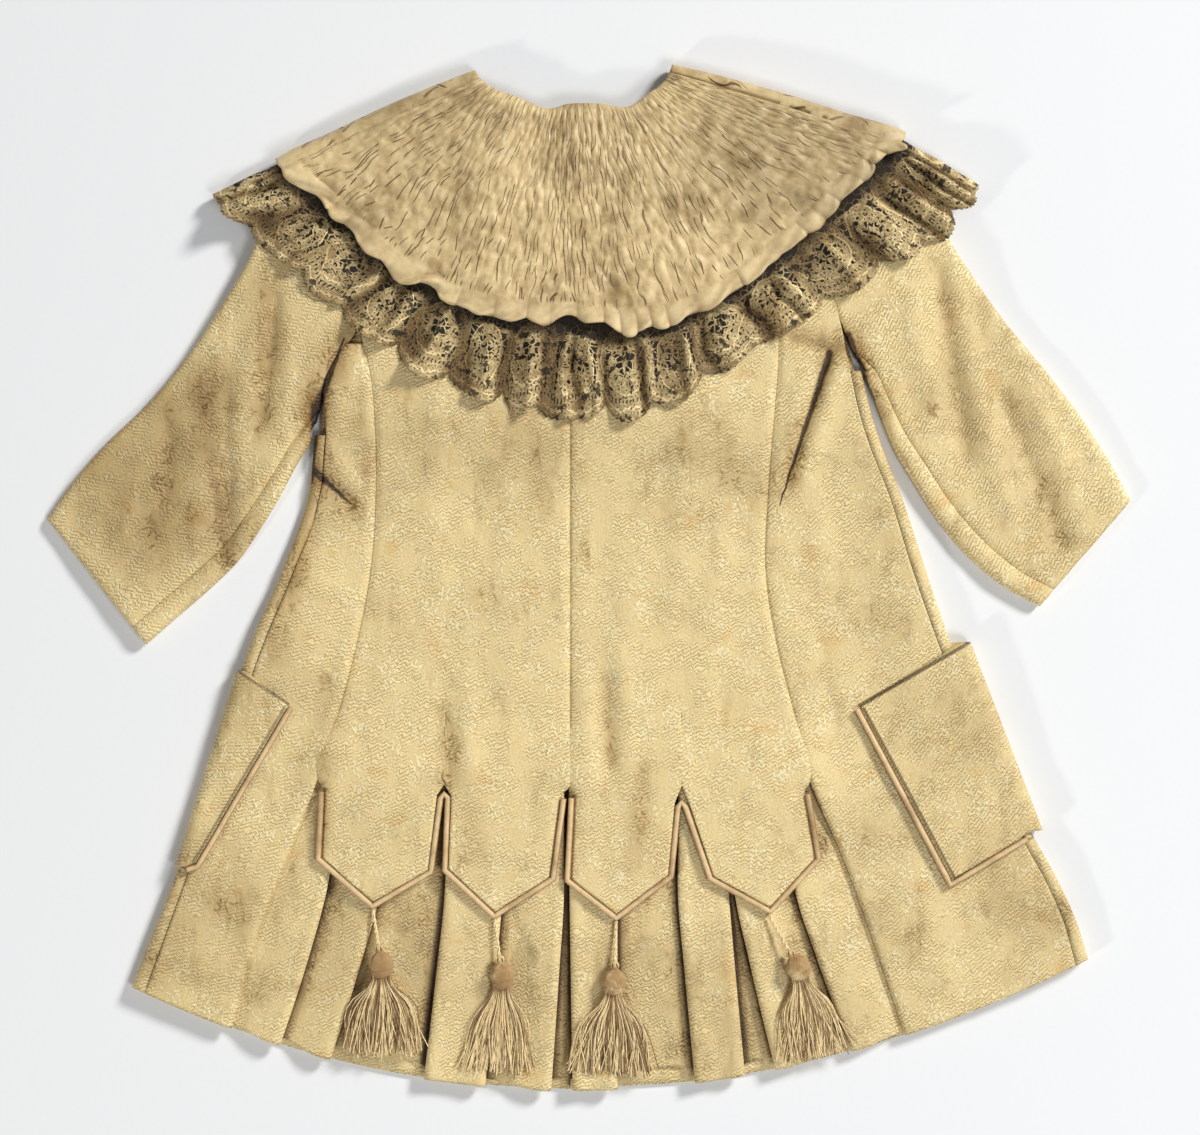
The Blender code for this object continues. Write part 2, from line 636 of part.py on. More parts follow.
def sleeve_turn(side, q, at_inner, angle):
    """A point on the round of one of the flat sleeve's edges."""
    edge, across = sleeve_plan(side, q, 0.0), sleeve_plan(side, q, 1.0) - sleeve_plan(side, q, 0.0)
    if not at_inner:
        edge, across = sleeve_plan(side, q, 1.0), -across
    elif q < 1:
        sign = 1 if side == "left" else -1
        way = (sleeve_plan(side, 1, 0.0) - edge).normalized()
        after = (sleeve_plan(side, 1, 1.0) - sleeve_plan(side, 1, 0.0)).normalized()
        edge, across = edge + way * UNDERARM_CLEAR, after + sign * Vector((way.y, -way.x))
    across.normalize()
    plan = edge + across * 0.004
    low, high = front_z(*plan), back_z(*plan)
    radius, turned = (high - low) / 2, math.radians(angle)
    plan = edge + across * (CLOTH / 2 + radius * (1 - math.cos(turned)))
    return Vector((*plan, (low + high) / 2 + radius * math.sin(turned)))


def make_sleeve(side):
    """A sleeve in its two cut pieces, each going round one of the flat sleeve's edges."""
    sections = len(LEFT_SLEEVE)
    seats = (0.2, 0.4, 0.6, 0.8, 0.9) if side == "left" else (0.25, 0.5, 0.62, 0.75, 0.88)
    low_seats = (0.2, 0.4, 0.6) if side == "left" else (0.25, 0.5, 0.75)

    def spread(q, first, last, count, fitted, n):
        """Columns across a layer: even, or at the armhole on the body's own rows."""
        width = (sleeve_plan(side, q, 1.0) - sleeve_plan(side, q, 0.0)).length
        ends = first / width, 1 - last / width
        even = mix(*ends, n / count)
        return fitted[n - 1] if q == 0 and 0 < n < count else even

    def upper(i, j):
        if i <= 6:
            return sleeve_level(side, j, spread(j, SLEEVE_SEAM, 0.007, 6, seats, i), True)
        if i <= 11:
            return sleeve_turn(side, j, False, SLEEVE_ANGLES[i - 7])
        return sleeve_level(side, j, spread(j, 0.0, SLEEVE_SEAM, 1, (), 1), False)

    def under(i, j):
        if i == 0:
            return sleeve_level(side, j, spread(j, SLEEVE_SEAM - SEAM, 0.0, 1, (), 0), True)
        if i <= 5:
            return sleeve_turn(side, j, True, SLEEVE_ANGLES[i - 1])
        return sleeve_level(side, j, spread(j, 0.009, SLEEVE_SEAM + SEAM, 4, low_seats, i - 6), False)

    return (
        cloth(f"sleeve_{side}_upper", 12, sections, upper, SILK),
        cloth(f"sleeve_{side}_under", 10, sections, under, SILK),
    )


def ray_point(rays, place, name):
    return Vector((along(column(rays, name + "_x"), place), along(column(rays, name + "_y"), place)))


def stations(front_columns, turn_columns, back_columns):
    """Stops round the collar from one centre front to the other: which rays, where among them, and the
    angle of the fold, which is -90 under the coat and 90 on top of it."""
    left = (*LEFT_FRONT_RAYS, BACK_RAYS[0])
    right = (BACK_RAYS[-1], *RIGHT_FRONT_RAYS)
    stops = [(left, 3 * n / front_columns, -90) for n in range(front_columns + 1)]
    stops += [(BACK_RAYS, 0, mix(-90, 90, n / turn_columns)) for n in range(1, turn_columns)]
    stops += [(BACK_RAYS, 9 * n / back_columns, 90) for n in range(back_columns + 1)]
    stops += [(BACK_RAYS, 9, mix(90, -90, n / turn_columns)) for n in range(1, turn_columns)]
    stops += [(right, 3 * n / front_columns, -90) for n in range(front_columns + 1)]
    return stops


def wrapped(stop, plan, top_z, low_z):
    """A point on a layer that goes over the coat, round a shoulder fold and under it."""
    rays, place, angle = stop
    turn_angle = math.radians(angle)
    radius = (top_z - low_z) / 2
    fold = Vector((0.0, 0.0))
    if rays is BACK_RAYS and abs(angle) < 90:
        ray = BACK_RAYS[0] if place == 0 else BACK_RAYS[-1]
        way = Vector((ray.edge_x - ray.neck_x, ray.edge_y - ray.neck_y)).normalized()
        fold = Vector((-way.y, way.x)) if way.x > 0 else Vector((way.y, -way.x))
    plan = plan + fold * radius * math.cos(turn_angle)
    return Vector((plan.x, plan.y, low_z + radius * (1 + math.sin(turn_angle))))


def collar_inner_z(plan, v):
    """Inside of the collar's wall on top of the coat: seated at the neck, arched, and over the lace."""
    outside = back_z(*plan) + CLOTH / 2 + LAYER
    return outside + 0.0016 * ease(0.7, 0.9, v) + COLLAR_LOFT * math.sin(math.pi * min(1.0, v)) ** 0.8


def collar_point(stop, v, outside):
    """A point on the collar's plain inside or its smocked outside."""
    plan = ray_point(stop[0], stop[1], "neck").lerp(ray_point(stop[0], stop[1], "edge"), v)
    if outside:
        return wrapped(stop, plan, collar_inner_z(plan, v) + SATIN, 0.0)
    return wrapped(stop, plan, collar_inner_z(plan, v), SATIN)


def make_collar():
    """The smocked collar: a plain inside, and an outside whose gathers stand up between its rows."""
    front, turned, across = 8, 4, 2 * RIDGES_ACROSS_BACK
    stops = stations(front, turned, across)
    first, last = front + turned, front + turned + across
    plain = [n for n in range(len(stops)) if n % 4 == 0 or front < n < first or last < n < last + turned]

    def smocked(i, j):
        point = collar_point(stops[i], j / SMOCKING_ROWS, True)
        if first < i < last and j:
            point.z += SMOCKING_RISE * ((i + j) % 2 if j < SMOCKING_ROWS else i % 4 < 2)
        return point

    def lining(i, j):
        return collar_point(stops[i], j / SMOCKING_ROWS, False)

    outer = range(len(stops)), range(SMOCKING_ROWS + 1), smocked
    return walled("collar", outer, (plain, range(0, SMOCKING_ROWS + 1, 2), lining), SATIN_FINISH)


def make_lace():
    """The gathered lace under the collar's edge, with a scalloped edge and its largest gaps open."""
    per_scallop, rows = 4, 4
    back_columns = SCALLOPS * per_scallop
    stops = stations(6, 4, back_columns)
    first, last = 6 + 4, 6 + 4 + back_columns

    def place(i, j):
        v = j / rows
        stop = stops[i]
        edge, outer = ray_point(stop[0], stop[1], "edge"), ray_point(stop[0], stop[1], "lace")
        root = edge + (ray_point(stop[0], stop[1], "neck") - edge).normalized() * 0.006
        scallop = 1.0
        wave = 0.0
        if first <= i <= last:
            phase = (i - first) / per_scallop
            scallop = 0.9 + 0.14 * abs(math.sin(math.pi * phase)) ** 0.7
            wave = LACE_WAVE * (1 - math.cos(2 * math.pi * phase)) * ease(0.1, 0.6, v)
        plan = root.lerp(outer, v * mix(1.0, scallop, v))
        top = back_z(*plan) + CLOTH / 2 + LAYER + LACE / 2 + wave
        low = LACE / 2 + (SATIN + LAYER) * (1 - ease(0.26, 0.5, v))
        return wrapped(stop, plan, top, low)

    lace = cloth("lace", len(stops) - 1, rows, place, LACE_FINISH, wall=0)
    open_gaps(lace, first, per_scallop, rows, len(stops) - 1)
    wall = lace.modifiers.new("Wall", "SOLIDIFY")
    wall.thickness = LACE
    wall.offset = 0.0
    return lace


def open_gaps(lace, first, per_scallop, rows, columns):
    """Cuts the open gaps of each scallop: two beside its root and one in its middle."""
    grid = bmesh.new()
    grid.from_mesh(lace.data)
    grid.faces.ensure_lookup_table()
    gaps = []
    for scallop in range(SCALLOPS):
        for across, down in ((0, 1), (3, 1), (1, 2), (2, 2)):
            gaps.append(grid.faces[(first + scallop * per_scallop + across) + down * columns])
    bmesh.ops.inset_individual(grid, faces=gaps, thickness=0.0012, use_even_offset=True)
    bmesh.ops.delete(grid, geom=gaps, context="FACES_ONLY")
    grid.to_mesh(lace.data)
    grid.free()


def make_piping(name, points, radius):
    """A round bound edge along a route."""
    curve = bpy.data.curves.new(name, "CURVE")
    curve.dimensions = "3D"
    curve.bevel_depth = radius
    curve.bevel_resolution = 1
    curve.use_fill_caps = True
    spline = curve.splines.new("POLY")
    spline.points.add(len(points) - 1)
    for point, place in zip(spline.points, points):
        point.co = (*place, 1.0)
    curve.materials.append(SATIN_FINISH)
    piping = bpy.data.objects.new(name, curve)
    COAT.objects.link(piping)
    return piping


def tab_outline(tab):
    """A tab's bound edge in plan, from one slit down round its tip to the next."""
    points = [Vector((tab.left_x, tab.left_y)), Vector(tab.low_left), Vector(tab.tip)]
    points += [Vector(tab.low_right), Vector((tab.right_x, tab.right_y))]
    return points


def pushed_out(points, distance):
    """An open outline moved out to its right, with each corner kept at the same distance."""
    moved = []
    for n, here in enumerate(points):
        ways = []
        if n > 0:
            ways.append((here - points[n - 1]).normalized())
        if n < len(points) - 1:
            ways.append((points[n + 1] - here).normalized())
        normals = [Vector((w.y, -w.x)) for w in ways]
        normal = sum(normals, Vector((0.0, 0.0))).normalized()
        moved.append(here + normal * distance / max(0.5, normal.dot(normals[0])))
    return moved


def make_tab_piping(side, tabs):
    """The piping of two tabs in one length, arching over the slit between them."""
    out = PIPING_RADIUS + SEAM
    route = []
    for n, tab in enumerate(tabs):
        outline = pushed_out(tab_outline(tab), out)
        outline[0].y -= SLIT_START
        outline[-1].y -= SLIT_START
        middle_left, middle_right = outline[0].lerp(outline[1], 0.5), outline[-2].lerp(outline[-1], 0.5)
        route += [outline[0], middle_left, *outline[1:-1], middle_right, outline[-1]]
        if n == 0:
            route.append(Vector(((tabs[1].left_x + tab.right_x) / 2, tab.right_y + SLIT_ARCH)))
    return make_piping(f"piping_{side}", [(p.x, p.y, TAB_HEIGHT + 0.0004) for p in route], PIPING_RADIUS)


def top_of(panels):
    """A measure of how high the panels' tops stand about a place, whatever seam runs through it."""
    shapes = bpy.context.evaluated_depsgraph_get()
    trees = [BVHTree.FromObject(panel, shapes) for panel in panels]

    def height(x, y):
        down = Vector((0.0, 0.0, -1.0))
        starts = [Vector((x + aside, y, 0.1)) for aside in (-0.001, 0.0, 0.001)]
        hits = [tree.ray_cast(start, down)[0] for tree in trees for start in starts]
        return max((hit.z for hit in hits if hit), default=0.0)

    return height


def pocket_corners(side, q):
    """Where a pocket's sewn side, the start of its turn and its outline are, q of the way down."""
    pocket, sign = POCKETS[side], 1 if side == "left" else -1
    sewn = Vector((mix(pocket.top_x, pocket.low_x, q), mix(pocket.top_y, pocket.low_y, q)))
    edge = Vector((mix(pocket.edge_top_x, pocket.edge_low_x, q), mix(pocket.edge_top_y, pocket.edge_low_y, q)))
    return sewn, edge + Vector((sign * POCKET_TURN, 0.0)), edge


def make_pocket(side, panels):
    """A patch pocket that lies on the side, goes round the fold and on under the front."""
    sign = 1 if side == "left" else -1
    height = top_of(panels)
    top_columns, low_columns, rows = 4, 2, 7
    turned = len(POCKET_ANGLES)
    columns = top_columns + turned + low_columns
    out = POCKET_GAP + POCKET_WALL / 2

    def place(i, j):
        sewn, turn_start, edge = pocket_corners(side, j / rows)
        body_edge = side_edge_x(side, edge.y)
        high, low = height(body_edge + sign * 0.008, edge.y) + out, POCKET_WALL / 2
        if i < top_columns:
            x, y = sewn.lerp(turn_start, i / top_columns)
            return Vector((x, y, height(x, y) + out))
        if i <= top_columns + turned:
            angle = math.radians(90 if i == top_columns else POCKET_ANGLES[i - top_columns - 1])
            reach, rise = (POCKET_TURN - POCKET_WALL / 2) * math.cos(angle), (high - low) / 2 * math.sin(angle)
            return Vector((turn_start.x - sign * reach, edge.y, (low + high) / 2 + rise))
        end = body_edge + sign * POCKET_HIDDEN
        share = (i - top_columns - turned) / low_columns
        return Vector((mix(turn_start.x, end, share), edge.y - 0.008 * share, low))

    return cloth(f"pocket_{side}", columns, rows, place, SILK, wall=POCKET_WALL)


def make_pocket_piping(side, panels):
    """The piping down a pocket's sewn side and along its lower edge as far as the fold."""
    sign = 1 if side == "left" else -1
    height = top_of(panels)
    down = [pocket_corners(side, q / 6)[0] for q in range(7)]
    sewn, turn_start, _ = pocket_corners(side, 1.0)
    lower = [sewn.lerp(turn_start, share) for share in ((0.45, 0.9) if side == "right" else (0.85,))]
    outline = pushed_out([*down, *lower], -sign * (PIPING_RADIUS + SEAM))
    points = [(p.x, p.y, height(p.x, p.y) + POCKET_GAP + PIPING_RADIUS) for p in outline]
    return make_piping(f"piping_pocket_{side}", points, PIPING_RADIUS)


def solid(name, builder, material):
    """A hidden shape that a tassel is joined from."""
    mesh = bpy.data.meshes.new(name)
    shape = bmesh.new()
    builder(shape)
    bmesh.ops.recalc_face_normals(shape, faces=shape.faces)
    shape.to_mesh(mesh)
    shape.free()
    mesh.materials.append(material)
    return bpy.data.objects.new(name, mesh)


def ball(centre, radii, segments, rings):
    def builder(shape):
        bmesh.ops.create_uvsphere(shape, u_segments=segments, v_segments=rings, radius=1.0)
        for vertex in shape.verts:
            vertex.co = centre + Vector(a * b for a, b in zip(vertex.co, radii))

    return builder


def spike(points, radii, sides):
    """A bar through points, with a radius at each."""

    def builder(shape):
        way = (points[-1] - points[0]).normalized()
        across = Vector((-way.y, way.x, 0.0)).normalized()
        up = across.cross(way)
        bmesh.ops.create_cone(shape, cap_ends=True, segments=sides, radius1=1.0, radius2=1.0, depth=2.0)
        steps = len(points) - 1
        long_edges = [e for e in shape.edges if abs(e.verts[0].co.z - e.verts[1].co.z) > 1.0]
        bmesh.ops.subdivide_edges(shape, edges=long_edges, cuts=steps - 1)
        for vertex in shape.verts:
            n = round((vertex.co.z + 1) / 2 * steps)
            x, y = vertex.co.x, vertex.co.y
            vertex.co = points[n] + (across * x + up * y) * radii[n]

    return builder


def lock_points(tassel, share, lift):
    """One lock of a tassel: out of the head, fanned to its place among the cut ends."""
    head = Vector((tassel.head_x, tassel.head_y, TASSEL_HEIGHT))
    end = Vector((tassel.end_x, tassel.end_y, 0.0))
    way = (end - Vector((head.x, head.y, 0.0))).normalized()
    across = Vector((-way.y, way.x, 0.0))
    root = head + way * (HEAD_LENGTH * 0.55) + across * share * HEAD_RADIUS * 0.62
    root.z = TASSEL_HEIGHT - 0.0012
    bend = head.lerp(end, 0.5) + across * share * tassel.spread * 0.36
    bend.z = LOCK_HEIGHT + 0.0010 + lift
    tip = end + across * share * tassel.spread * 0.5 + way * 0.0016 * math.cos(share * 9.0)
    tip.z = LOCK_HEIGHT + lift
    return [root, bend, tip]


def make_tassel(number, tassel):
    """A tassel: its thread from the tab's tip, knot and head, with the locks' roots fused into the head."""
    name = f"tassel_{number}"
    head = Vector((tassel.head_x, tassel.head_y, TASSEL_HEIGHT))
    tip = Vector((tassel.tip_x, tassel.tip_y, TAB_HEIGHT + 0.0004))
    way = (Vector((head.x, head.y, 0.0)) - Vector((tip.x, tip.y, 0.0))).normalized()
    knot = head - way * (HEAD_LENGTH + KNOT_RADIUS * 0.7)
    radii = (HEAD_RADIUS, HEAD_LENGTH, HEAD_RADIUS * 0.7)
    thread = [tip, tip.lerp(knot, 0.5), knot]
    pieces = [
        solid(f"{name}_knot", ball(knot, (KNOT_RADIUS,) * 3, 6, 4), CORD),
        solid(f"{name}_thread", spike(thread, (THREAD_RADIUS,) * 3, 4), CORD),
    ]
    for n in range(LOCKS):
        share = -1 + 2 * n / (LOCKS - 1)
        points = lock_points(tassel, share, 0.0008 * (n % 2))
        sizes = (LOCK_RADIUS, LOCK_RADIUS * 1.1, LOCK_RADIUS * 0.8)
        pieces.append(solid(f"{name}_lock_{n}", spike(points, sizes, 3), CORD))
    group = bpy.data.collections.new(f"{name}_pieces")
    JOINING.children.link(group)
    for piece in pieces:
        group.objects.link(piece)
        piece.hide_render = True
        piece.display_type = "WIRE"
    tassel_object = solid(name, ball(head, radii, 10, 6), CORD)
    COAT.objects.link(tassel_object)
    join = tassel_object.modifiers.new("Join", "BOOLEAN")
    join.operation = "UNION"
    join.operand_type = "COLLECTION"
    join.collection = group
    join.solver = "EXACT"
    return tassel_object


clear_scene()
COAT = new_collection("child_coat")
JOINING = new_collection("joined_shapes")
SILK = finish_material("figured_silk", PALE_SILK, 0.55)
SATIN_FINISH = finish_material("satin", CREAM_SATIN, 0.4)
LACE_FINISH = finish_material("lace", DRY_LACE, 0.85)
CORD = finish_material("tassel_silk", CORD_SILK, 0.5)

for half, half_tabs in (("left", TABS[:2]), ("right", TABS[2:])):
    make_back(half, half_tabs)
    make_tab_piping(half, half_tabs)
    make_sleeve(half)
    side_panels = (make_side(half), make_front(half))
    bpy.context.view_layer.update()
    make_pocket(half, side_panels)
    make_pocket_piping(half, side_panels)
make_skirt()
make_collar()
make_lace()
for tassel_number, one_tassel in enumerate(TASSELS, 1):
    make_tassel(tassel_number, one_tassel)
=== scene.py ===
"""The looks of a small child's coat of figured silk, laid flat with its back up.

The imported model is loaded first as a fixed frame. Each piece of cloth is then made again with its
fine surface, from the same sizes as the solids, and takes the solid's place.
"""

import logging
from collections.abc import Callable, Sequence
from dataclasses import dataclass, field
from enum import StrEnum
from math import ceil, cos, exp, floor, hypot, pi, radians, sin, sqrt
from typing import NamedTuple

import bpy
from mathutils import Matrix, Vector, noise


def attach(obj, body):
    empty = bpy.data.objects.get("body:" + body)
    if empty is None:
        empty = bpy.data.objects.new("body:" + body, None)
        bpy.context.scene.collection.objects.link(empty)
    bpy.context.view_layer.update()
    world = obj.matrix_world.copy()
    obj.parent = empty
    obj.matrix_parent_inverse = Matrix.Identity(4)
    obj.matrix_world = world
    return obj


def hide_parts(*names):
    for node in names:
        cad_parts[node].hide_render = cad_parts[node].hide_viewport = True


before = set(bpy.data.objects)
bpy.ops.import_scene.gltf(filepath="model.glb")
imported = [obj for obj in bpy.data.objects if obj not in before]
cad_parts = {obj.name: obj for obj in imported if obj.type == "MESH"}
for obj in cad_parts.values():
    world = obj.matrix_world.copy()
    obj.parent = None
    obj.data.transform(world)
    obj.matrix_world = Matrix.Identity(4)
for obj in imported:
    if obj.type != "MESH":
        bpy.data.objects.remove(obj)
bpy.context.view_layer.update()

LOG = logging.getLogger("coat")
Piece = bpy.types.Object
Finish = bpy.types.Material
Pair = tuple[float, float]
Colour = tuple[float, float, float]
Place = Callable[[int, int], Vector]
Read = Callable[[int, Vector], Pair]


class Side(StrEnum):
    """The coat's left or right as the photograph shows it."""

    LEFT = "left"
    RIGHT = "right"

    @property
    def sign(self) -> int:
        """The way inwards along X from this side: 1 from the left and -1 from the right."""
        return 1 if self is Side.LEFT else -1


class BodyRow(NamedTuple):
    """One level down the coat: its centre height, its ends on the outline and its two seams."""

    centre_y: float
    left_x: float
    left_y: float
    left_seam: float
    right_seam: float
    right_x: float
    right_y: float


class Corner(NamedTuple):
    """A corner in plan."""

    x: float
    y: float


class Tab(NamedTuple):
    """A tab: where its sides start at the slits, its lower corners and its tip."""

    left_x: float
    left_y: float
    right_x: float
    right_y: float
    low_left: Pair
    tip: Pair
    low_right: Pair


class Fold(NamedTuple):
    """A fold edge of the skirt: its place under the tabs, at the tab tips and at the hem."""

    top: float
    middle: float
    hem: float


class SleeveRow(NamedTuple):
    """A section of a sleeve: its edge towards the body and its outer edge."""

    inner_x: float
    inner_y: float
    outer_x: float
    outer_y: float


class Ray(NamedTuple):
    """A line of the collar from the neck to its edge and on to the lace's edge."""

    neck_x: float
    neck_y: float
    edge_x: float
    edge_y: float
    lace_x: float
    lace_y: float


class Swell(NamedTuple):
    """A soft ridge, or a trough where its rise is under nought, along a line."""

    x1: float
    y1: float
    x2: float
    y2: float
    rise: float
    width: float


class TasselPlace(NamedTuple):
    """A tassel: the tab tip it hangs from, its head, the middle of its cut ends, and its spread."""

    tip_x: float
    tip_y: float
    head_x: float
    head_y: float
    end_x: float
    end_y: float
    spread: float


class PocketPlace(NamedTuple):
    """A pocket: its sewn side's two corners and its two corners on the outline."""

    top_x: float
    top_y: float
    low_x: float
    low_y: float
    edge_top_x: float
    edge_top_y: float
    edge_low_x: float
    edge_low_y: float


# How many parts of a metre the tables count in
PARTS = 10000
# Sizes in metres, the same as the solids have
CLOTH, SATIN, LACE = 0.002, 0.0016, 0.0009
PLEAT_WALL, POCKET_WALL, POCKET_GAP = 0.0013, 0.0014, 0.001
SEAM, LAYER, PIPING_RADIUS = 0.0003, 0.0004, 0.0016
SLIT_ARCH, SLIT_START = 0.0008, 0.0016
FRONT_HEIGHT, BACK_HEIGHT, PUFF_HEIGHT, TAB_HEIGHT = CLOTH / 2, 0.0046, 0.007, 0.0093
LOW, MIDDLE, HIGH = 0.0031, 0.0048, 0.0065
PLEAT_DEPTH, PLEAT_HOLD, CROWN = 0.007, 0.0085, 0.0004
COLLAR_LIFT, COLLAR_LOFT = 0.0037, 0.0045
COLLAR_CENTRE, COLLAR_REACH = Vector((0.0, 0.278)), Vector((0.226, 0.2025))
POCKET_LIFT = POCKET_WALL + LAYER
UP = Vector((0, 0, 1))
GATHERS, SHIRRING = 54, 10
SCALLOPS, LACE_WAVE = 16, 0.0022
# How close points lie that are sewn into one
SEWN = 0.00005
CENTRE_X = -0.0108
UNDERARM = {Side.LEFT: 5, Side.RIGHT: 4}
TAB_ROW, HEM_ROW = 10, 14
SEAM_STRIP, SLEEVE_SEAM, UNDERARM_CLEAR = 0.003, 0.012, 0.0024


def rows_of(kind: type, *rows: Sequence[int]) -> tuple:
    """Rows of a table, written in ten-thousandths of a metre, and of one for a strength."""
    return tuple(kind(*(value / PARTS for value in row)) for row in rows)


BODY_ROWS = rows_of(
    BodyRow,
    (2444, -1404, 2195, -1404, 1307, 1307, 2346), (2022, -1323, 1941, -1323, 1247, 1247, 2049),
    (1671, -1258, 1655, -1258, 1231, 1231, 1752), (1347, -1245, 1347, -1240, 1031, 1339, 1385),
    (1077, -1415, 1077, -1183, 1010, 1458, 1094), (748, -1485, 748, -1156, 983, 1544, 770),
    (402, -1523, 402, -1156, 956, 1685, 402), (24, -1658, 24, -1183, 945, 1809, 24),
    (-354, -1815, -338, -1253, 999, 1933, -343), (-732, -1933, -678, -1345, 1091, 2070, -694),
    (-1137, -2051, -1056, -1463, 1183, 2215, -1045),
    (-1542, -2168, -1434, -1615, 1350, 2380, -1396),
    (-1974, -2293, -1785, -1766, 1490, 2535, -1677),
    (-2379, -2390, -2017, -1858, 1598, 2624, -1877),
    (-2775, -2468, -2217, -1928, 1696, 2684, -2066),
)
TOP_EDGE = rows_of(
    Corner,
    (-1404, 2195), (-605, 2600), (-400, 2480), (-200, 2425), (0, 2450), (200, 2435), (420, 2630),
    (1307, 2346),
)
TABS = (
    Tab(-0.1424, -0.115, -0.0822, -0.1185, (-0.144, -0.152), (-0.1166, -0.1758), (-0.0872, -0.1585)),
    Tab(-0.0744, -0.1185, -0.016, -0.1185, (-0.076, -0.158), (-0.0513, -0.1812), (-0.0216, -0.1622)),
    Tab(-0.008, -0.1185, 0.0454, -0.123, (-0.0102, -0.1634), (0.014, -0.1822), (0.0418, -0.1612)),
    Tab(0.0532, -0.123, 0.115, -0.1165, (0.0662, -0.162), (0.0964, -0.1785), (0.1208, -0.152)),
)
TAB_STEPS = (0.0, 0.34, 0.68, 1.0)
FOLDS = rows_of(
    Fold,
    (-1323, -1409, -1663), (-1053, -1123, -1393), (-761, -783, -896), (-486, -470, -560),
    (-137, -137, -205), (-115, -112, -97), (162, 151, 151), (475, 470, 562),
    (707, 748, 837), (729, 774, 994), (1030, 1096, 1404),
)
LAPS = (1, 1, -1, 1, 1, -1, 1, -1, 1, -1, -1)
SKIRT_LEFT = Fold(-0.1601, -0.1801, -0.2028)
SKIRT_RIGHT = Fold(0.1304, 0.1531, 0.1796)
SLEEVES = {
    Side.LEFT: rows_of(
        SleeveRow,
        (-1538, 663, -1685, 1995), (-1592, 573, -1836, 1688), (-1658, 446, -1987, 1439),
        (-1760, 273, -2182, 1158), (-1901, 68, -2398, 905), (-2079, -105, -2603, 710),
        (-2236, -240, -2776, 510), (-2387, -375, -2921, 305),
    ),
    Side.RIGHT: rows_of(
        SleeveRow,
        (1523, 975, 1647, 2157), (1577, 834, 1847, 1925), (1647, 662, 2020, 1661),
        (1755, 478, 2230, 1369), (1912, 240, 2462, 1088), (2095, 41, 2668, 813),
        (2257, -84, 2819, 575), (2419, -170, 2911, 402),
    ),
}
BACK_RAYS = rows_of(
    Ray,
    (-597, 2665, -1663, 2174, -2009, 2001), (-502, 2600, -1323, 1866, -1658, 1682),
    (-378, 2557, -929, 1547, -1183, 1282), (-230, 2500, -540, 1396, -691, 969),
    (-108, 2525, -162, 1356, -189, 878), (54, 2525, 270, 1320, 313, 861),
    (205, 2509, 686, 1450, 821, 1169), (324, 2590, 1134, 1790, 1404, 1526),
    (392, 2640, 1485, 2120, 1863, 1806), (428, 2693, 1679, 2314, 2079, 2049),
)
LEFT_FRONT_RAYS = rows_of(
    Ray,
    (-150, 2292, -120, 1347, -120, 986), (-324, 2373, -810, 1504, -999, 1212),
    (-486, 2497, -1296, 1850, -1593, 1688),
) + BACK_RAYS[:1]
RIGHT_FRONT_RAYS = BACK_RAYS[-1:] + rows_of(
    Ray,
    (324, 2519, 1107, 1817, 1377, 1590), (119, 2390, 594, 1482, 756, 1212),
    (-66, 2292, -96, 1347, -96, 986),
)
SWELLS = rows_of(
    Swell,
    (-1560, 600, -1760, -250, 16, 180), (-1760, -250, -2000, -900, 16, 180),
    (1600, 700, 1840, -100, 16, 180), (1840, -100, 2120, -900, 16, 180),
    (-1566, 1485, -2592, 24, 19, 300), (1674, 1645, 2619, 159, 19, 300),
    (-1728, 1458, -1760, 810, -12, 80), (-1980, 920, -1966, 100, -12, 90),
    (1863, 1640, 2010, 700, -12, 80), (2214, 945, 2500, 200, -11, 90),
    (1242, 1120, 1140, 640, -11, 70), (-820, 1000, -900, 300, 10, 140), (600, 900, 480, 0, 10, 160),
    (-350, 300, -400, -700, 9, 180), (220, 0, 240, -900, 8, 140),
)
# Narrow creases and small ridges that only the fine surface has
CREASES = rows_of(
    Swell,
    (-1470, 550, -1285, 375, -16, 28), (-1430, 660, -1270, 500, 13, 60),
    (-1420, 400, -1310, 200, 9, 70), (-1512, 450, -1490, 160, -10, 30),
    (-1335, 1240, -1480, 880, -10, 30), (-1480, 880, -1497, 600, -10, 30),
    (-1280, 1150, -1380, 850, 10, 70), (-1775, 1320, -1960, 680, 13, 65),
    (-1690, 1480, -1770, 840, -13, 40), (-1640, 1350, -1640, 800, 9, 60),
    (-1950, 940, -1968, 80, -12, 45), (-1880, 720, -1860, 250, 10, 55),
    (-2268, 780, -2290, 400, -12, 50), (-2090, 720, -2116, 180, 12, 65),
    (-2440, 600, -2500, 240, 8, 70), (1863, 1640, 2025, 620, -13, 50),
    (1960, 1600, 2140, 760, 10, 60), (1740, 1500, 1840, 800, 9, 60),
    (2214, 945, 2540, 190, -11, 50), (2080, 850, 2260, 300, 10, 60), (2380, 1000, 2600, 450, 8, 60),
    (1290, 1180, 1058, 490, -18, 28), (1340, 1120, 1150, 540, 13, 55),
    (1160, 1080, 1000, 560, 8, 50), (1080, 1250, 1390, 1190, -12, 30),
    (1120, 1330, 1380, 1260, 9, 40), (1450, 760, 1560, 300, 9, 80), (81, -570, 108, -1000, -12, 55),
    (180, -450, 200, -1150, 9, 70), (-20, -600, -10, -1150, 8, 60),
    (-783, -786, -756, -1053, -10, 50), (-680, -600, -640, -1200, 8, 70),
    (-600, 560, -560, 100, -9, 70), (-850, 600, -820, 0, 8, 90), (380, 500, 330, -300, -9, 80),
    (700, 300, 640, -700, 8, 90), (-1620, 50, -1400, -100, 9, 60),
    (-1180, -200, -1260, -900, -6, 60), (1180, -100, 1320, -800, -6, 70),
)
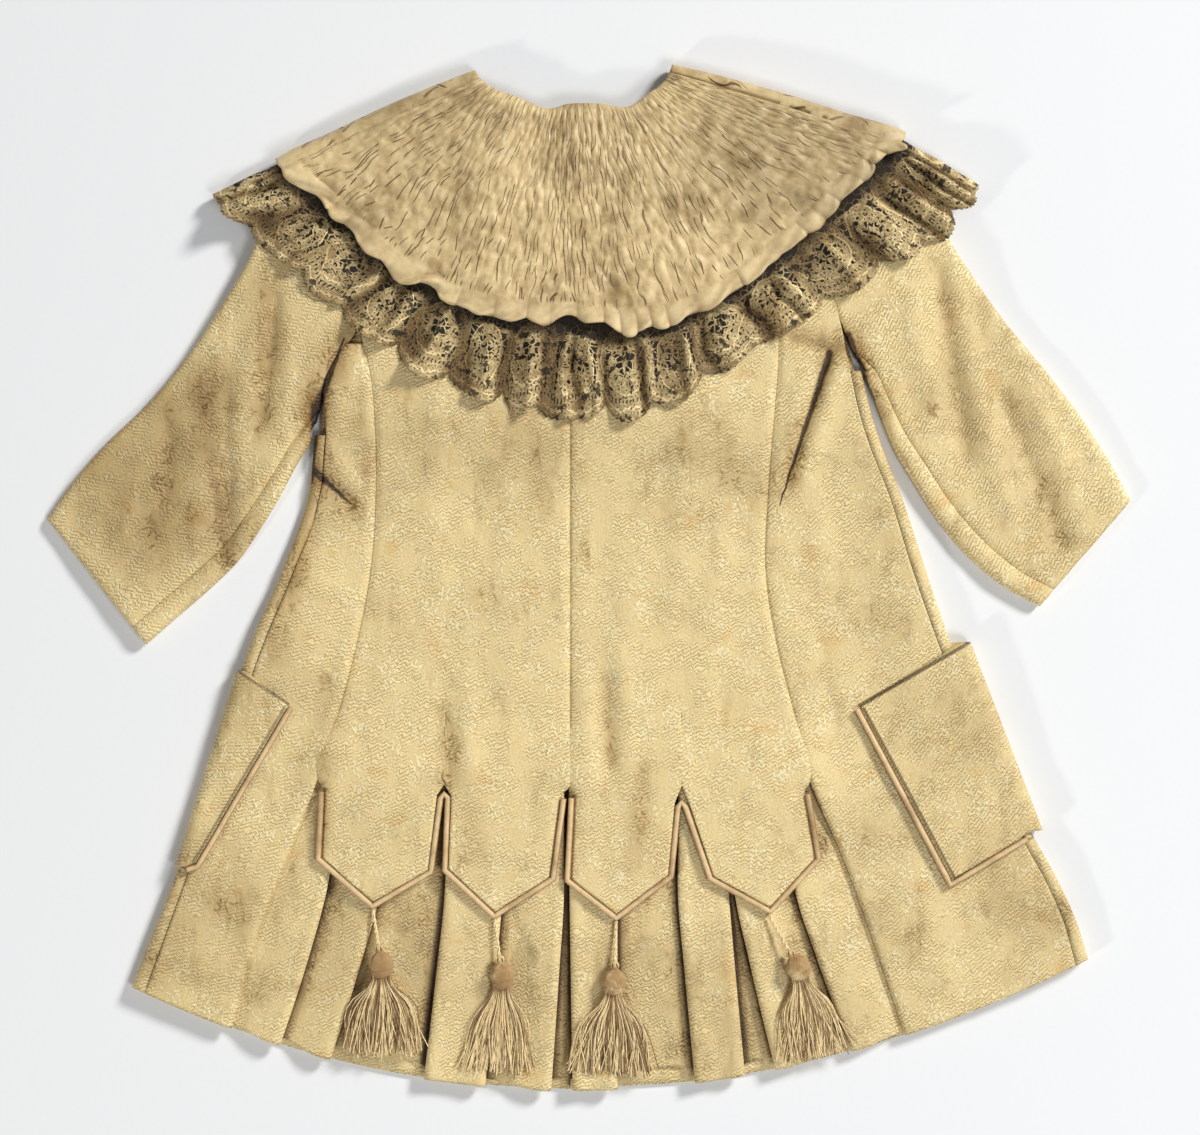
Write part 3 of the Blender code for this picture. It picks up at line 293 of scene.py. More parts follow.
TASSELS = rows_of(
    TasselPlace,
    (-1166, -1799, -1118, -2093, -1118, -2560, 380), (-513, -1853, -470, -2152, -502, -2650, 340),
    (140, -1863, 130, -2184, 113, -2670, 410), (966, -1833, 1118, -2109, 1215, -2570, 330),
)
LEFT_POCKET, RIGHT_POCKET = rows_of(
    PocketPlace,
    (-1622, -705, -2118, -1550, -1905, -520, -2235, -1570),
    (1452, -715, 1944, -1640, 2050, -365, 2438, -1375),
)
POCKETS = {Side.LEFT: LEFT_POCKET, Side.RIGHT: RIGHT_POCKET}
POCKET_ROWS = (8, 12)
POCKET_TURN, POCKET_HIDDEN, FRONT_LIFTED, LIFT_END = 0.0056, 0.032, 0.0325, 0.0095


def mix(a: float, b: float, share: float) -> float:
    """The value a share of the way from a to b."""
    return a + (b - a) * share


def ease(low: float, high: float, value: float) -> float:
    """Nought below low, one above high, and a smooth rise between."""
    share = min(1.0, max(0.0, (value - low) / (high - low)))
    return share * share * (3 - 2 * share)


def ripple(x: float, y: float, z: float) -> float:
    """Soft noise from about -1 to 1 at a place."""
    return noise.noise(Vector((x, y, z)))


def along(values: Sequence[float], place: float) -> float:
    """The value at a place along evenly spaced values, on a smooth curve through them.

    Args:
        values: The values, one for each whole place.
        place: Where to read, counted in values.

    Returns:
        The value there.
    """
    last = len(values) - 1
    index = min(last - 1, max(0, int(floor(place))))
    t = place - index
    here, there = values[index], values[index + 1]
    slope_here = (there - values[max(0, index - 1)]) / 2
    slope_there = (values[min(last, index + 2)] - here) / 2
    rise = (t**3 - 2 * t**2 + t) * slope_here + (t**3 - t**2) * slope_there
    return (2 * t**3 - 3 * t**2 + 1) * here + (3 * t**2 - 2 * t**3) * there + rise


@dataclass(frozen=True)
class CoatShape:
    """The coat's plan and the heights of its layers, by the same rules as its solids."""

    rows: dict[str, list[float]] = field(
        default_factory=lambda: {n: [getattr(r, n) for r in BODY_ROWS] for n in BodyRow._fields}
    )

    def body(self, name: str, row: float) -> float:
        """One of the body's named measures at any place between its rows."""
        return along(self.rows[name], row)

    def top_edge_y(self, x: float) -> float:
        """The height of the shoulder and neck line at x."""
        for first, second in zip(TOP_EDGE, TOP_EDGE[1:]):
            if x <= second.x:
                return mix(first.y, second.y, max(0.0, (x - first.x) / (second.x - first.x)))
        return TOP_EDGE[-1].y

    def body_y(self, row: float, x: float) -> float:
        """Where a row of the body runs at x: a shallow arc, or near the top the neck line."""
        lowest = max(row, 2.0)
        side = "left" if x < CENTRE_X else "right"
        middle, end = self.body("centre_y", lowest), self.body(side + "_y", lowest)
        reach = (x - CENTRE_X) / (self.body(side + "_x", lowest) - CENTRE_X)
        arc = middle + (end - middle) * reach * reach
        return arc if row >= 2 else mix(self.top_edge_y(x), arc, row / 2)

    def side_edge_x(self, side: Side, y: float) -> float:
        """The outline of the side beside the pocket, as one straight line."""
        first, last = (BODY_ROWS[row] for row in POCKET_ROWS)
        top_y, low_y = getattr(first, side + "_y"), getattr(last, side + "_y")
        share = (y - top_y) / (low_y - top_y)
        return mix(getattr(first, side + "_x"), getattr(last, side + "_x"), share)

    def pocket_lift(self, x: float, y: float) -> float:
        """How much the hidden part of a pocket lifts the cloth that lies on it."""
        side = Side.LEFT if x < 0 else Side.RIGHT
        inwards = side.sign * (x - self.side_edge_x(side, y))
        across = ease(FRONT_LIFTED + 0.014, FRONT_LIFTED + 0.006, inwards)
        return POCKET_LIFT * across * ease(0.002, -0.03, y) * ease(-0.202, -0.181, y)

    def collar_lift(self, x: float, y: float) -> float:
        """How much the collar's layers under the coat lift it."""
        reach = hypot((x - COLLAR_CENTRE.x) / COLLAR_REACH.x, (y - COLLAR_CENTRE.y) / COLLAR_REACH.y)
        return COLLAR_LIFT * (1 - ease(1.01, 1.2, reach))

    def front_z(self, x: float, y: float) -> float:
        """Middle of the lower cloth: flat on the floor but for what lies under it."""
        return FRONT_HEIGHT + self.collar_lift(x, y) + self.pocket_lift(x, y)

    def swells(self, x: float, y: float, table: Sequence[Swell]) -> float:
        """The rise at a point from a table of soft ridges and troughs."""
        rise = 0.0
        for s in table:
            way_x, way_y = s.x2 - s.x1, s.y2 - s.y1
            share = ((x - s.x1) * way_x + (y - s.y1) * way_y) / (way_x * way_x + way_y * way_y)
            share = min(1.0, max(0.0, share))
            away = ((x - s.x1 - way_x * share) ** 2 + (y - s.y1 - way_y * share) ** 2) / s.width**2
            if away < 7:
                rise += s.rise * exp(-away)
        return rise

    def creases(self, x: float, y: float) -> float:
        """The fine surface's own rise: narrow creases and the cloth's soft unevenness."""
        broad = ripple(x * 26, y * 10, 1.3)
        small = ripple(x * 75 + y * 12, y * 48, 7.1)
        fine = ripple(x * 190, y * 150, 3.9)
        rise = 1.35 * self.swells(x, y, CREASES) + 0.0012 * broad + 0.00052 * small + 0.00014 * fine
        return max(-0.0017, rise)

    def soiled(self, x: float, y: float) -> float:
        """How soiled a place is, by the soft patches; over the left sleeve it also stands for painted
        shade.
        """
        most = 0.0
        for stain in STAINS:
            away = ((x - stain.x) / stain.across) ** 2 + ((y - stain.y) / stain.down) ** 2
            most = max(most, stain.strength * (1 - ease(0.0, 1.6, away)))
        return most

    def dimmed(self, x: float, y: float) -> float:
        """How much painted shade a place has beside the deep creases and in the broad hollows."""
        return min(0.9, 0.72 * self.swells(x, y, SHADED_HOLLOWS))

    def back_z(self, x: float, y: float) -> float:
        """Middle of the upper cloth, with its large folds."""
        settled = BACK_HEIGHT + self.collar_lift(x, y) + self.pocket_lift(x, y) + self.swells(x, y, SWELLS)
        return mix(settled, PUFF_HEIGHT, ease(-0.078, -0.106, y))

    def tab_z(self, x: float, y: float, tabs: bool = True) -> float:
        """Middle of the back's cloth, which rises over the top of the skirt.

        Args:
            x: The place across.
            y: The place along.
            tabs: Whether the cloth goes on into the tabs. A side only rises beside them.

        Returns:
            The height there.
        """
        left, right = self.body("left_seam", 9.9), self.body("right_seam", 9.9)
        inside = ease(left - 0.014, left - 0.001, x) * ease(right + 0.014, right + 0.001, x)
        rise = ease(-0.078, -0.106, y) * (1.0 if tabs and y < -0.112 else inside)
        if not tabs:
            rise *= ease(-0.128, -0.112, y)
        return mix(self.back_z(x, y), TAB_HEIGHT, rise)

    def seam_x(self, side: Side, row: float, gap: float) -> float:
        """The side-back seam, moved by a gap towards the centre or, under nought, the side."""
        return self.body(side + "_seam", row) + side.sign * gap

    def fold_at(self, side: Side, row: float) -> tuple[float, float, float]:
        """The fold at a side: the middle of its round, and the heights it joins."""
        edge = self.body(side + "_x", row)
        inset = edge + side.sign * 0.004
        y = self.body_y(row, inset)
        low, high = self.front_z(inset, y), self.back_z(inset, y)
        return edge + side.sign * ((high - low) / 2 + CLOTH / 2), low, high

    def armhole(self, side: Side, v: float) -> Vector:
        """The armhole's plan from the underarm, at nought, to the shoulder tip, at one."""
        row = UNDERARM[side] * (1 - v)
        first = min(int(row), HEM_ROW - 1)
        names = side + "_x", side + "_y"
        ends = [Vector([self.body(name, r) for name in names]) for r in (first, first + 1)]
        return ends[0].lerp(ends[1], row - first) - Vector((side.sign * SEAM, 0.0))


SHAPE = CoatShape()


class Net:
    """A sheet of cloth given by a coarse net of points, and read as one smooth surface."""

    def __init__(self, points: list[list[Vector]], step: float, straight_from: int = 99) -> None:
        """Keeps the net, by columns and then rows, and works out its close grid.

        Args:
            points: The net, as a list of columns of points.
            step: About how far apart the close grid's points are.
            straight_from: The row past which the cloth runs straight between the net's points.
        """
        self.row_places = self._places([list(column) for column in points], step)
        columns = [self._dense(column, self.row_places, straight_from) for column in points]
        rows = [list(row) for row in zip(*columns)]
        self.column_places = self._places(rows, step)
        bends = [99 if place[0] < straight_from else 0 for place in self.row_places]
        self.grid = [self._dense(row, self.column_places, bend) for row, bend in zip(rows, bends)]

    @staticmethod
    def _places(lines: list[list[Vector]], step: float) -> list[tuple[int, float]]:
        """Where the close points lie: the net's span and the share of the way along it."""
        places: list[tuple[int, float]] = []
        for k in range(len(lines[0]) - 1):
            longest = max((line[k + 1] - line[k]).length for line in lines)
            count = max(1, round(longest / step))
            places += [(k, n / count) for n in range(count)]
        return [*places, (len(lines[0]) - 2, 1.0)]

    @staticmethod
    def _dense(line: list[Vector], places: list[tuple[int, float]], straight_from: int) -> list[Vector]:
        """The close points of one line of the net."""
        lengths = [max(1e-9, (b - a).length) for a, b in zip(line, line[1:])]
        ways = [(b - a) / length for a, b, length in zip(line, line[1:], lengths)]
        slopes = [ways[0]]
        for before, after, h, g in zip(ways, ways[1:], lengths, lengths[1:]):
            slopes.append((before * g + after * h) / (h + g))
        slopes.append(ways[-1])
        dense = []
        for k, t in places:
            if k >= straight_from:
                dense.append(line[k].lerp(line[k + 1], t))
                continue
            h = lengths[k]
            point = line[k] * (2 * t**3 - 3 * t**2 + 1) + line[k + 1] * (3 * t**2 - 2 * t**3)
            point += slopes[k] * h * (t**3 - 2 * t**2 + t) + slopes[k + 1] * h * (t**3 - t**2)
            low, high = sorted((line[k].z, line[k + 1].z))
            point.z = min(high + 0.0004, max(low, point.z))
            dense.append(point)
        return dense


@dataclass(frozen=True)
class Edges:
    """Which edges of a panel are seams, where its cloth turns down a little."""

    first: bool = False
    last: bool = False
    start: bool = False
    end: bool = False
    depth: float = 0.0011
    reach: float = 0.002

    def dip(self, *distances: float) -> float:
        """How far the cloth turns down at these distances from its first, last, start and end."""
        ways = zip(distances, (self.first, self.last, self.start, self.end))
        near = min([away for away, sewn in ways if sewn], default=1.0)
        return self.depth * exp(-((near / self.reach) ** 2))


def deselect() -> None:
    """Lets go of everything, because an operator acts on all that is selected."""
    bpy.ops.object.select_all(action="DESELECT")


def choose(piece: Piece, *others: Piece) -> None:
    """Selects a piece, and others with it, and makes it the active one."""
    deselect()
    for one in (piece, *others):
        one.select_set(True)
    bpy.context.view_layer.objects.active = piece


def name_it(piece: Piece, name: str) -> None:
    """Names a piece and its data."""
    piece.name = name
    piece.data.name = name


def new_grid(name: str, columns: int, rows: int, place: Place) -> Piece:
    """A flat grid whose points are moved to their places.

    Args:
        name: The piece's name.
        columns: How many faces it has across.
        rows: How many faces it has down.
        place: Where the point of a column and a row goes.

    Returns:
        The new piece.
    """
    deselect()
    bpy.ops.mesh.primitive_grid_add(x_subdivisions=columns, y_subdivisions=rows, size=1.0, calc_uvs=False)
    piece = bpy.context.active_object
    name_it(piece, name)
    for vertex in piece.data.vertices:
        i, j = round((vertex.co.x + 0.5) * columns), round((vertex.co.y + 0.5) * rows)
        vertex.co = place(i, j)
    piece.data.update()
    return piece


def give_grain(piece: Piece, read: Read) -> None:
    """Writes the piece's own UV map, its place on the cloth, from each point's number and place."""
    mesh = piece.data
    layer = mesh.uv_layers.get("grain") or mesh.uv_layers.new(name="grain")
    flat = [read(vertex.index, vertex.co) for vertex in mesh.vertices]
    layer.data.foreach_set("uv", [part for loop in mesh.loops for part in flat[loop.vertex_index]])


def no_extra_shade(number: int, point: Vector) -> Pair:
    """No extra painted shade and no painted shadow beyond the coat's own stains and shaded hollows."""
    return 0.0, 0.0


def give_soil_and_shade(piece: Piece, read: Read = no_extra_shade) -> None:
    """Writes how soiled each point is and how much painted shade and painted shadow it has, as the
    attribute that the silk and satin read.

    Args:
        piece: The open sheet.
        read: The extra painted shade and painted shadow of a point, from its number and its place.
    """
    layer = piece.data.attributes.new("wear", "FLOAT_VECTOR", "POINT")
    values: list[float] = []
    for vertex in piece.data.vertices:
        p = vertex.co
        brown, black = read(vertex.index, p)
        # Soil, then painted shade, then painted shadow
        values += [SHAPE.soiled(p.x, p.y), max(SHAPE.dimmed(p.x, p.y), brown), black]
    layer.data.foreach_set("vector", values)


def slanted(angle: float) -> Read:
    """The grain of a panel that lies flat, in metres, turned by an angle in degrees."""
    c, s = cos(radians(angle)), sin(radians(angle))
    return lambda n, p: (p.x * c + p.y * s, p.y * c - p.x * s)


def give_wall(piece: Piece, thickness: float) -> None:
    """Gives a sheet its wall, half to each side, and applies it."""
    choose(piece)
    wall = piece.modifiers.new("Wall", "SOLIDIFY")
    wall.thickness = thickness
    wall.offset = 0.0
    bpy.ops.object.modifier_apply(modifier=wall.name)
    bpy.ops.object.shade_smooth()


def merge(pieces: list[Piece], distance: float = 0.0) -> Piece:
    """Joins pieces into the first one, and sews points that meet."""
    choose(*pieces)
    if len(pieces) > 1:
        bpy.ops.object.join()
    joined = bpy.context.view_layer.objects.active
    if distance:
        bpy.ops.object.mode_set(mode="EDIT")
        bpy.ops.mesh.select_all(action="SELECT")
        bpy.ops.mesh.remove_doubles(threshold=distance)
        bpy.ops.mesh.normals_make_consistent(inside=False)
        bpy.ops.object.mode_set(mode="OBJECT")
    return joined


def settle(piece: Piece) -> None:
    """Puts a finished piece's object at the origin, with its place in its mesh."""
    choose(piece)
    bpy.ops.object.transform_apply(location=True, rotation=True, scale=True)


def panel(name: str, net: Net, edges: Edges, folded: Callable[[Vector], float] = lambda p: 1.0) -> Piece:
    """One open panel of cloth from its net, with its creases and its turned seams.

    Args:
        name: The piece's name.
        net: The panel's net.
        edges: Which of its edges are seams.
        folded: How much of the creases a point takes, from nought to one.

    Returns:
        The new piece.
    """
    grid = net.grid
    rows, columns = len(grid) - 1, len(grid[0]) - 1
    across = [[0.0] * (columns + 1) for _ in grid]
    down = [[0.0] * (columns + 1) for _ in grid]
    for j, line in enumerate(grid):
        for i in range(columns + 1):
            if i:
                across[j][i] = across[j][i - 1] + (line[i] - line[i - 1]).length
            if j:
                down[j][i] = down[j - 1][i] + (line[i] - grid[j - 1][i]).length

    def place(i: int, j: int) -> Vector:
        """The point with its creases and its turn at a seam."""
        point = grid[j][i].copy()
        share = folded(point)
        if share > 0:
            point.z += share * SHAPE.creases(point.x, point.y)
            near = across[j][i], across[j][-1] - across[j][i], down[j][i], down[-1][i] - down[j][i]
            point.z -= share * edges.dip(*near)
        return point

    return new_grid(name, columns, rows, place)


def upper_share(point: Vector) -> float:
    """Creases belong to the upper cloth: all of them from 4.2 mm up and none under 2.5 mm."""
    lift = SHAPE.collar_lift(point.x, point.y)
    return ease(0.0025 + lift, 0.0042 + lift, point.z)


class Shade:
    """One value in a material, whose arithmetic adds the nodes that work it out."""

    def __init__(self, paint: "Paint", socket: bpy.types.NodeSocket) -> None:
        """Keeps the material it belongs to and the socket it comes from."""
        self.paint = paint
        self.socket = socket

    def maths(self, operation: str, *others: "Shade | float") -> "Shade":
        """The result of a Math node on this value and others."""
        return self.paint.node("ShaderNodeMath", {"operation": operation}, self, *others)

    def __add__(self, other: "Shade | float") -> "Shade":
        """This value and another together."""
        return self.maths("ADD", other)

    __radd__ = __add__

    def __mul__(self, other: "Shade | float") -> "Shade":
        """This value times another."""
        return self.maths("MULTIPLY", other)

    __rmul__ = __mul__

    def __sub__(self, other: "Shade | float") -> "Shade":
        """This value less another."""
        return self.maths("SUBTRACT", other)

    def __rsub__(self, other: float) -> "Shade":
        """A number less this value."""
        return self.paint.node("ShaderNodeMath", {"operation": "SUBTRACT"}, other, self)

    def __truediv__(self, other: "Shade | float") -> "Shade":
        """This value over another."""
        return self.maths("DIVIDE", other)

    def __pow__(self, other: float) -> "Shade":
        """This value to a power."""
        return self.maths("POWER", other)

    def wave(self) -> "Shade":
        """A wave from nought to one and back with each whole number."""
        return (self * (2 * pi)).maths("COSINE") * -0.5 + 0.5

    def between(self, low: float, high: float) -> "Shade":
        """Nought at low and one at high, smooth between. Low may be the greater."""
        settings = {"interpolation_type": "SMOOTHSTEP"}
        return self.paint.node("ShaderNodeMapRange", settings, self, low, high, 0.0, 1.0)


class Paint:
    """A material under work: its nodes, its coordinates and its shader."""

    def __init__(self, name: str, roughness: float, **constants: float) -> None:
        """Starts a material with its steady values set on the shader itself."""
        self.material = bpy.data.materials.new(name)
        self.material.use_nodes = True
        self.tree = self.material.node_tree
        self.shader = self.tree.nodes["Principled BSDF"]
        self.shader.inputs["Roughness"].default_value = roughness
        for socket, value in constants.items():
            self.shader.inputs[socket.replace("_", " ")].default_value = value

    def node(
        self, kind: str, settings: dict, *values: object, out: int = 0, at: Sequence[int] = ()
    ) -> Shade:
        """Adds a node.

        Args:
            kind: The node's type.
            settings: Its own settings, set before its sockets.
            values: A number, colour or earlier value for each socket in turn.
            out: Which of its outputs to read.
            at: The sockets that the values go to, where they aren't the first ones.

        Returns:
            The output as a value.
        """
        made = self.tree.nodes.new(kind)
        for key, setting in settings.items():
            setattr(made, key, setting)
        for index, value in zip(at or range(len(values)), values):
            if isinstance(value, Shade):
                self.tree.links.new(value.socket, made.inputs[index])
            else:
                made.inputs[index].default_value = value
        return Shade(self, made.outputs[out])

    def place(self) -> Shade:
        """The point's place in the coat's own frame, in metres."""
        return self.node("ShaderNodeTexCoord", {}, out=3)

    def grain(self) -> Shade:
        """The point's place on the cloth, as a vector in metres."""
        return self.node("ShaderNodeUVMap", {"uv_map": "grain"})

    def attribute(self, name: str, out: int = 1) -> Shade:
        """What the mesh keeps for each point: a vector or, where out is 2, a number."""
        return self.node("ShaderNodeAttribute", {"attribute_name": name}, out=out)

    def lot(self, *parts: Shade | float, out: int = 1) -> Shade:
        """Chance values from nought to one for a cell: a vector or, where out is 0, a number."""
        return self.node("ShaderNodeTexWhiteNoise", {}, self.join(*parts), out=out)

    def split(self, vector: Shade, scale: float = 1.0) -> tuple[Shade, Shade]:
        """The first two parts of a vector, scaled."""
        made = self.node("ShaderNodeSeparateXYZ", {}, vector)
        second = Shade(self, made.socket.node.outputs[1])
        return (made * scale, second * scale) if scale != 1.0 else (made, second)

    def join(self, x: Shade | float, y: Shade | float, z: Shade | float = 0.0) -> Shade:
        """A vector from its parts."""
        return self.node("ShaderNodeCombineXYZ", {}, x, y, z)

    def noise(self, where: Shade, scale: float, detail: float = 3.0, rough: float = 0.55) -> Shade:
        """Soft noise from nought to one."""
        flat = {"noise_dimensions": "2D"}
        return self.node("ShaderNodeTexNoise", flat, where, scale, detail, rough, at=(0, 2, 3, 4))

    def blend(self, share: Shade | float, first: object, second: object) -> Shade:
        """A colour from one to another by a share."""
        colours = [value if isinstance(value, Shade) else (*value, 1.0) for value in (first, second)]
        return self.node("ShaderNodeMix", {"data_type": "RGBA"}, share, *colours, out=2, at=(0, 6, 7))

    def darken(self, colour: Shade, *layers: tuple[Shade | float, Colour]) -> Shade:
        """A colour multiplied by each layer's tint, by its share."""
        settings = {"data_type": "RGBA", "blend_type": "MULTIPLY"}
        for share, tint in layers:
            values = share, colour, (*tint, 1.0)
            colour = self.node("ShaderNodeMix", settings, *values, out=2, at=(0, 6, 7))
        return colour

    def feed(self, socket: str, value: Shade) -> None:
        """Sends a value to one of the shader's sockets."""
        self.tree.links.new(value.socket, self.shader.inputs[socket])

    def relief(self, height: Shade, depth: float, strength: float = 1.0) -> None:
        """Raises the surface by a height from nought to one, of a depth in metres."""
        self.feed("Normal", self.node("ShaderNodeBump", {}, strength, depth, height, at=(0, 1, 3)))


class Petal(NamedTuple):
    """One woven stroke of a sprig: its middle, its slant in degrees, and its half sizes, in mm."""

    x: float
    y: float
    slant: float
    long: float
    wide: float


class Stain(NamedTuple):
    """A soft patch on the coat: its middle, its half sizes in metres, and its strength."""

    x: float
    y: float
    across: float
    down: float
    strength: float


# Small sprays of leaves and florets, drawn for this coat, in short woven strokes
SPRAY = (
    Petal(0.3, -2.2, 80, 2.7, 0.4),
    Petal(2.2, 2.6, 58, 2.1, 0.58),
    Petal(-2.1, 2.4, 122, 1.9, 0.55),
    Petal(3.2, -0.6, 30, 2.0, 0.58),
    Petal(-3.1, -1.1, 150, 2.1, 0.55),
    Petal(0.2, 5.4, 96, 1.8, 0.66),
    Petal(5.5, 2.0, 12, 1.4, 0.56),
    Petal(-5.3, 1.3, 168, 1.5, 0.52),
    Petal(2.2, -5.0, 128, 1.6, 0.54),
    Petal(4.0, 5.6, 40, 1.4, 0.62),
)
LEAVES = (
    Petal(-2.9, 1.4, 100, 2.0, 0.54),
    Petal(-1.0, 3.0, 62, 1.8, 0.58),
    Petal(1.6, 1.0, 28, 2.1, 0.54),
    Petal(3.1, -1.9, 120, 1.7, 0.56),
    Petal(-0.8, -2.5, 78, 2.4, 0.44),
)
FLORET = (
    Petal(0.0, 1.5, 90, 1.2, 0.58),
    Petal(1.5, 0.3, 10, 1.2, 0.58),
    Petal(-1.3, -0.8, 215, 1.2, 0.58),
)
# Narrow lines of painted shade in the deepest creases and beside the pockets' pipings; their rise is how
# dark they are
DARK_CREASES = rows_of(
    Swell,
    (-1475, 880, -1320, 1270, 9600, 42), (-1475, 900, -1494, 500, 9800, 44),
    (-1500, 570, -1290, 380, 9400, 36), (1290, 1190, 1020, 370, 9900, 32),
    (1390, 1290, 1545, 900, 8500, 26), (1452, -705, 2040, -362, 8000, 15),
    (1474, -722, 1960, -1632, 7200, 12), (2420, -1392, 1960, -1632, 6000, 12),
    (-1622, -695, -1900, -512, 6000, 12), (-1640, -712, -2130, -1545, 6000, 12),
)
# Broad soft hollows, painted darker as shade beside old folds and edges
SHADED_HOLLOWS = rows_of(
    Swell,
    (-1330, 1250, -1480, 880, 9500, 90), (-1480, 880, -1500, 560, 10000, 80),
    (-1480, 540, -1285, 365, 8500, 60), (-1512, 450, -1560, 0, 8500, 70),
    (-1640, -100, -1700, -450, 4500, 70), (1290, 1180, 1050, 460, 6200, 55),
    (1390, 1290, 1560, 880, 8000, 70), (1080, 1280, 1400, 1200, 6000, 80),
    (-1728, 1500, -1760, 810, 8000, 60), (-2080, 1010, -1966, 100, 6500, 65),
    (-2290, 700, -2330, 250, 4000, 80), (1863, 1640, 2025, 620, 3500, 80),
    (2300, 900, 2540, 190, 3500, 90), (81, -570, 108, -1000, 5000, 45),
    (-783, -720, -756, -1120, 6000, 50), (290, -1050, 230, -1550, 5000, 70),
    (-640, -1100, -600, -1500, 2800, 80), (-350, 860, -250, 350, 4000, 70),
    (700, 800, 730, 500, 3000, 80), (-1420, -980, -1440, -1450, 5500, 50),
    (1170, -1150, 1230, -1450, 5000, 50), (-2250, -1500, -2350, -2100, 3000, 120),
)
# Soft darker patches tinted as soil; the strongest, over the left sleeve, also stands for painted shade
STAINS = rows_of(
    Stain,
    (-2350, 650, 660, 800, 10000), (-1700, 1350, 500, 450, 4500), (-1250, 600, 300, 400, 5000),
    (-1900, -400, 350, 800, 6000), (-1500, -600, 250, 600, 3500), (-2150, -1850, 500, 600, 5500),
    (-1100, -2100, 500, 500, 4500), (2250, 1100, 450, 550, 4500), (2450, 300, 350, 400, 3500),
    (1650, 200, 250, 700, 3500), (2000, -950, 500, 600, 4000), (2400, -1700, 450, 600, 5500),
    (1500, -1900, 400, 600, 3500), (-450, 750, 750, 350, 5000), (600, 600, 600, 400, 3500),
    (-800, -1350, 1200, 300, 1000), (600, -2300, 1400, 450, 4000), (1200, 2250, 850, 450, 9500),
    (-850, 2400, 500, 300, 6000), (-1050, 1850, 450, 350, 3000), (0, 2250, 450, 250, 3000),
)


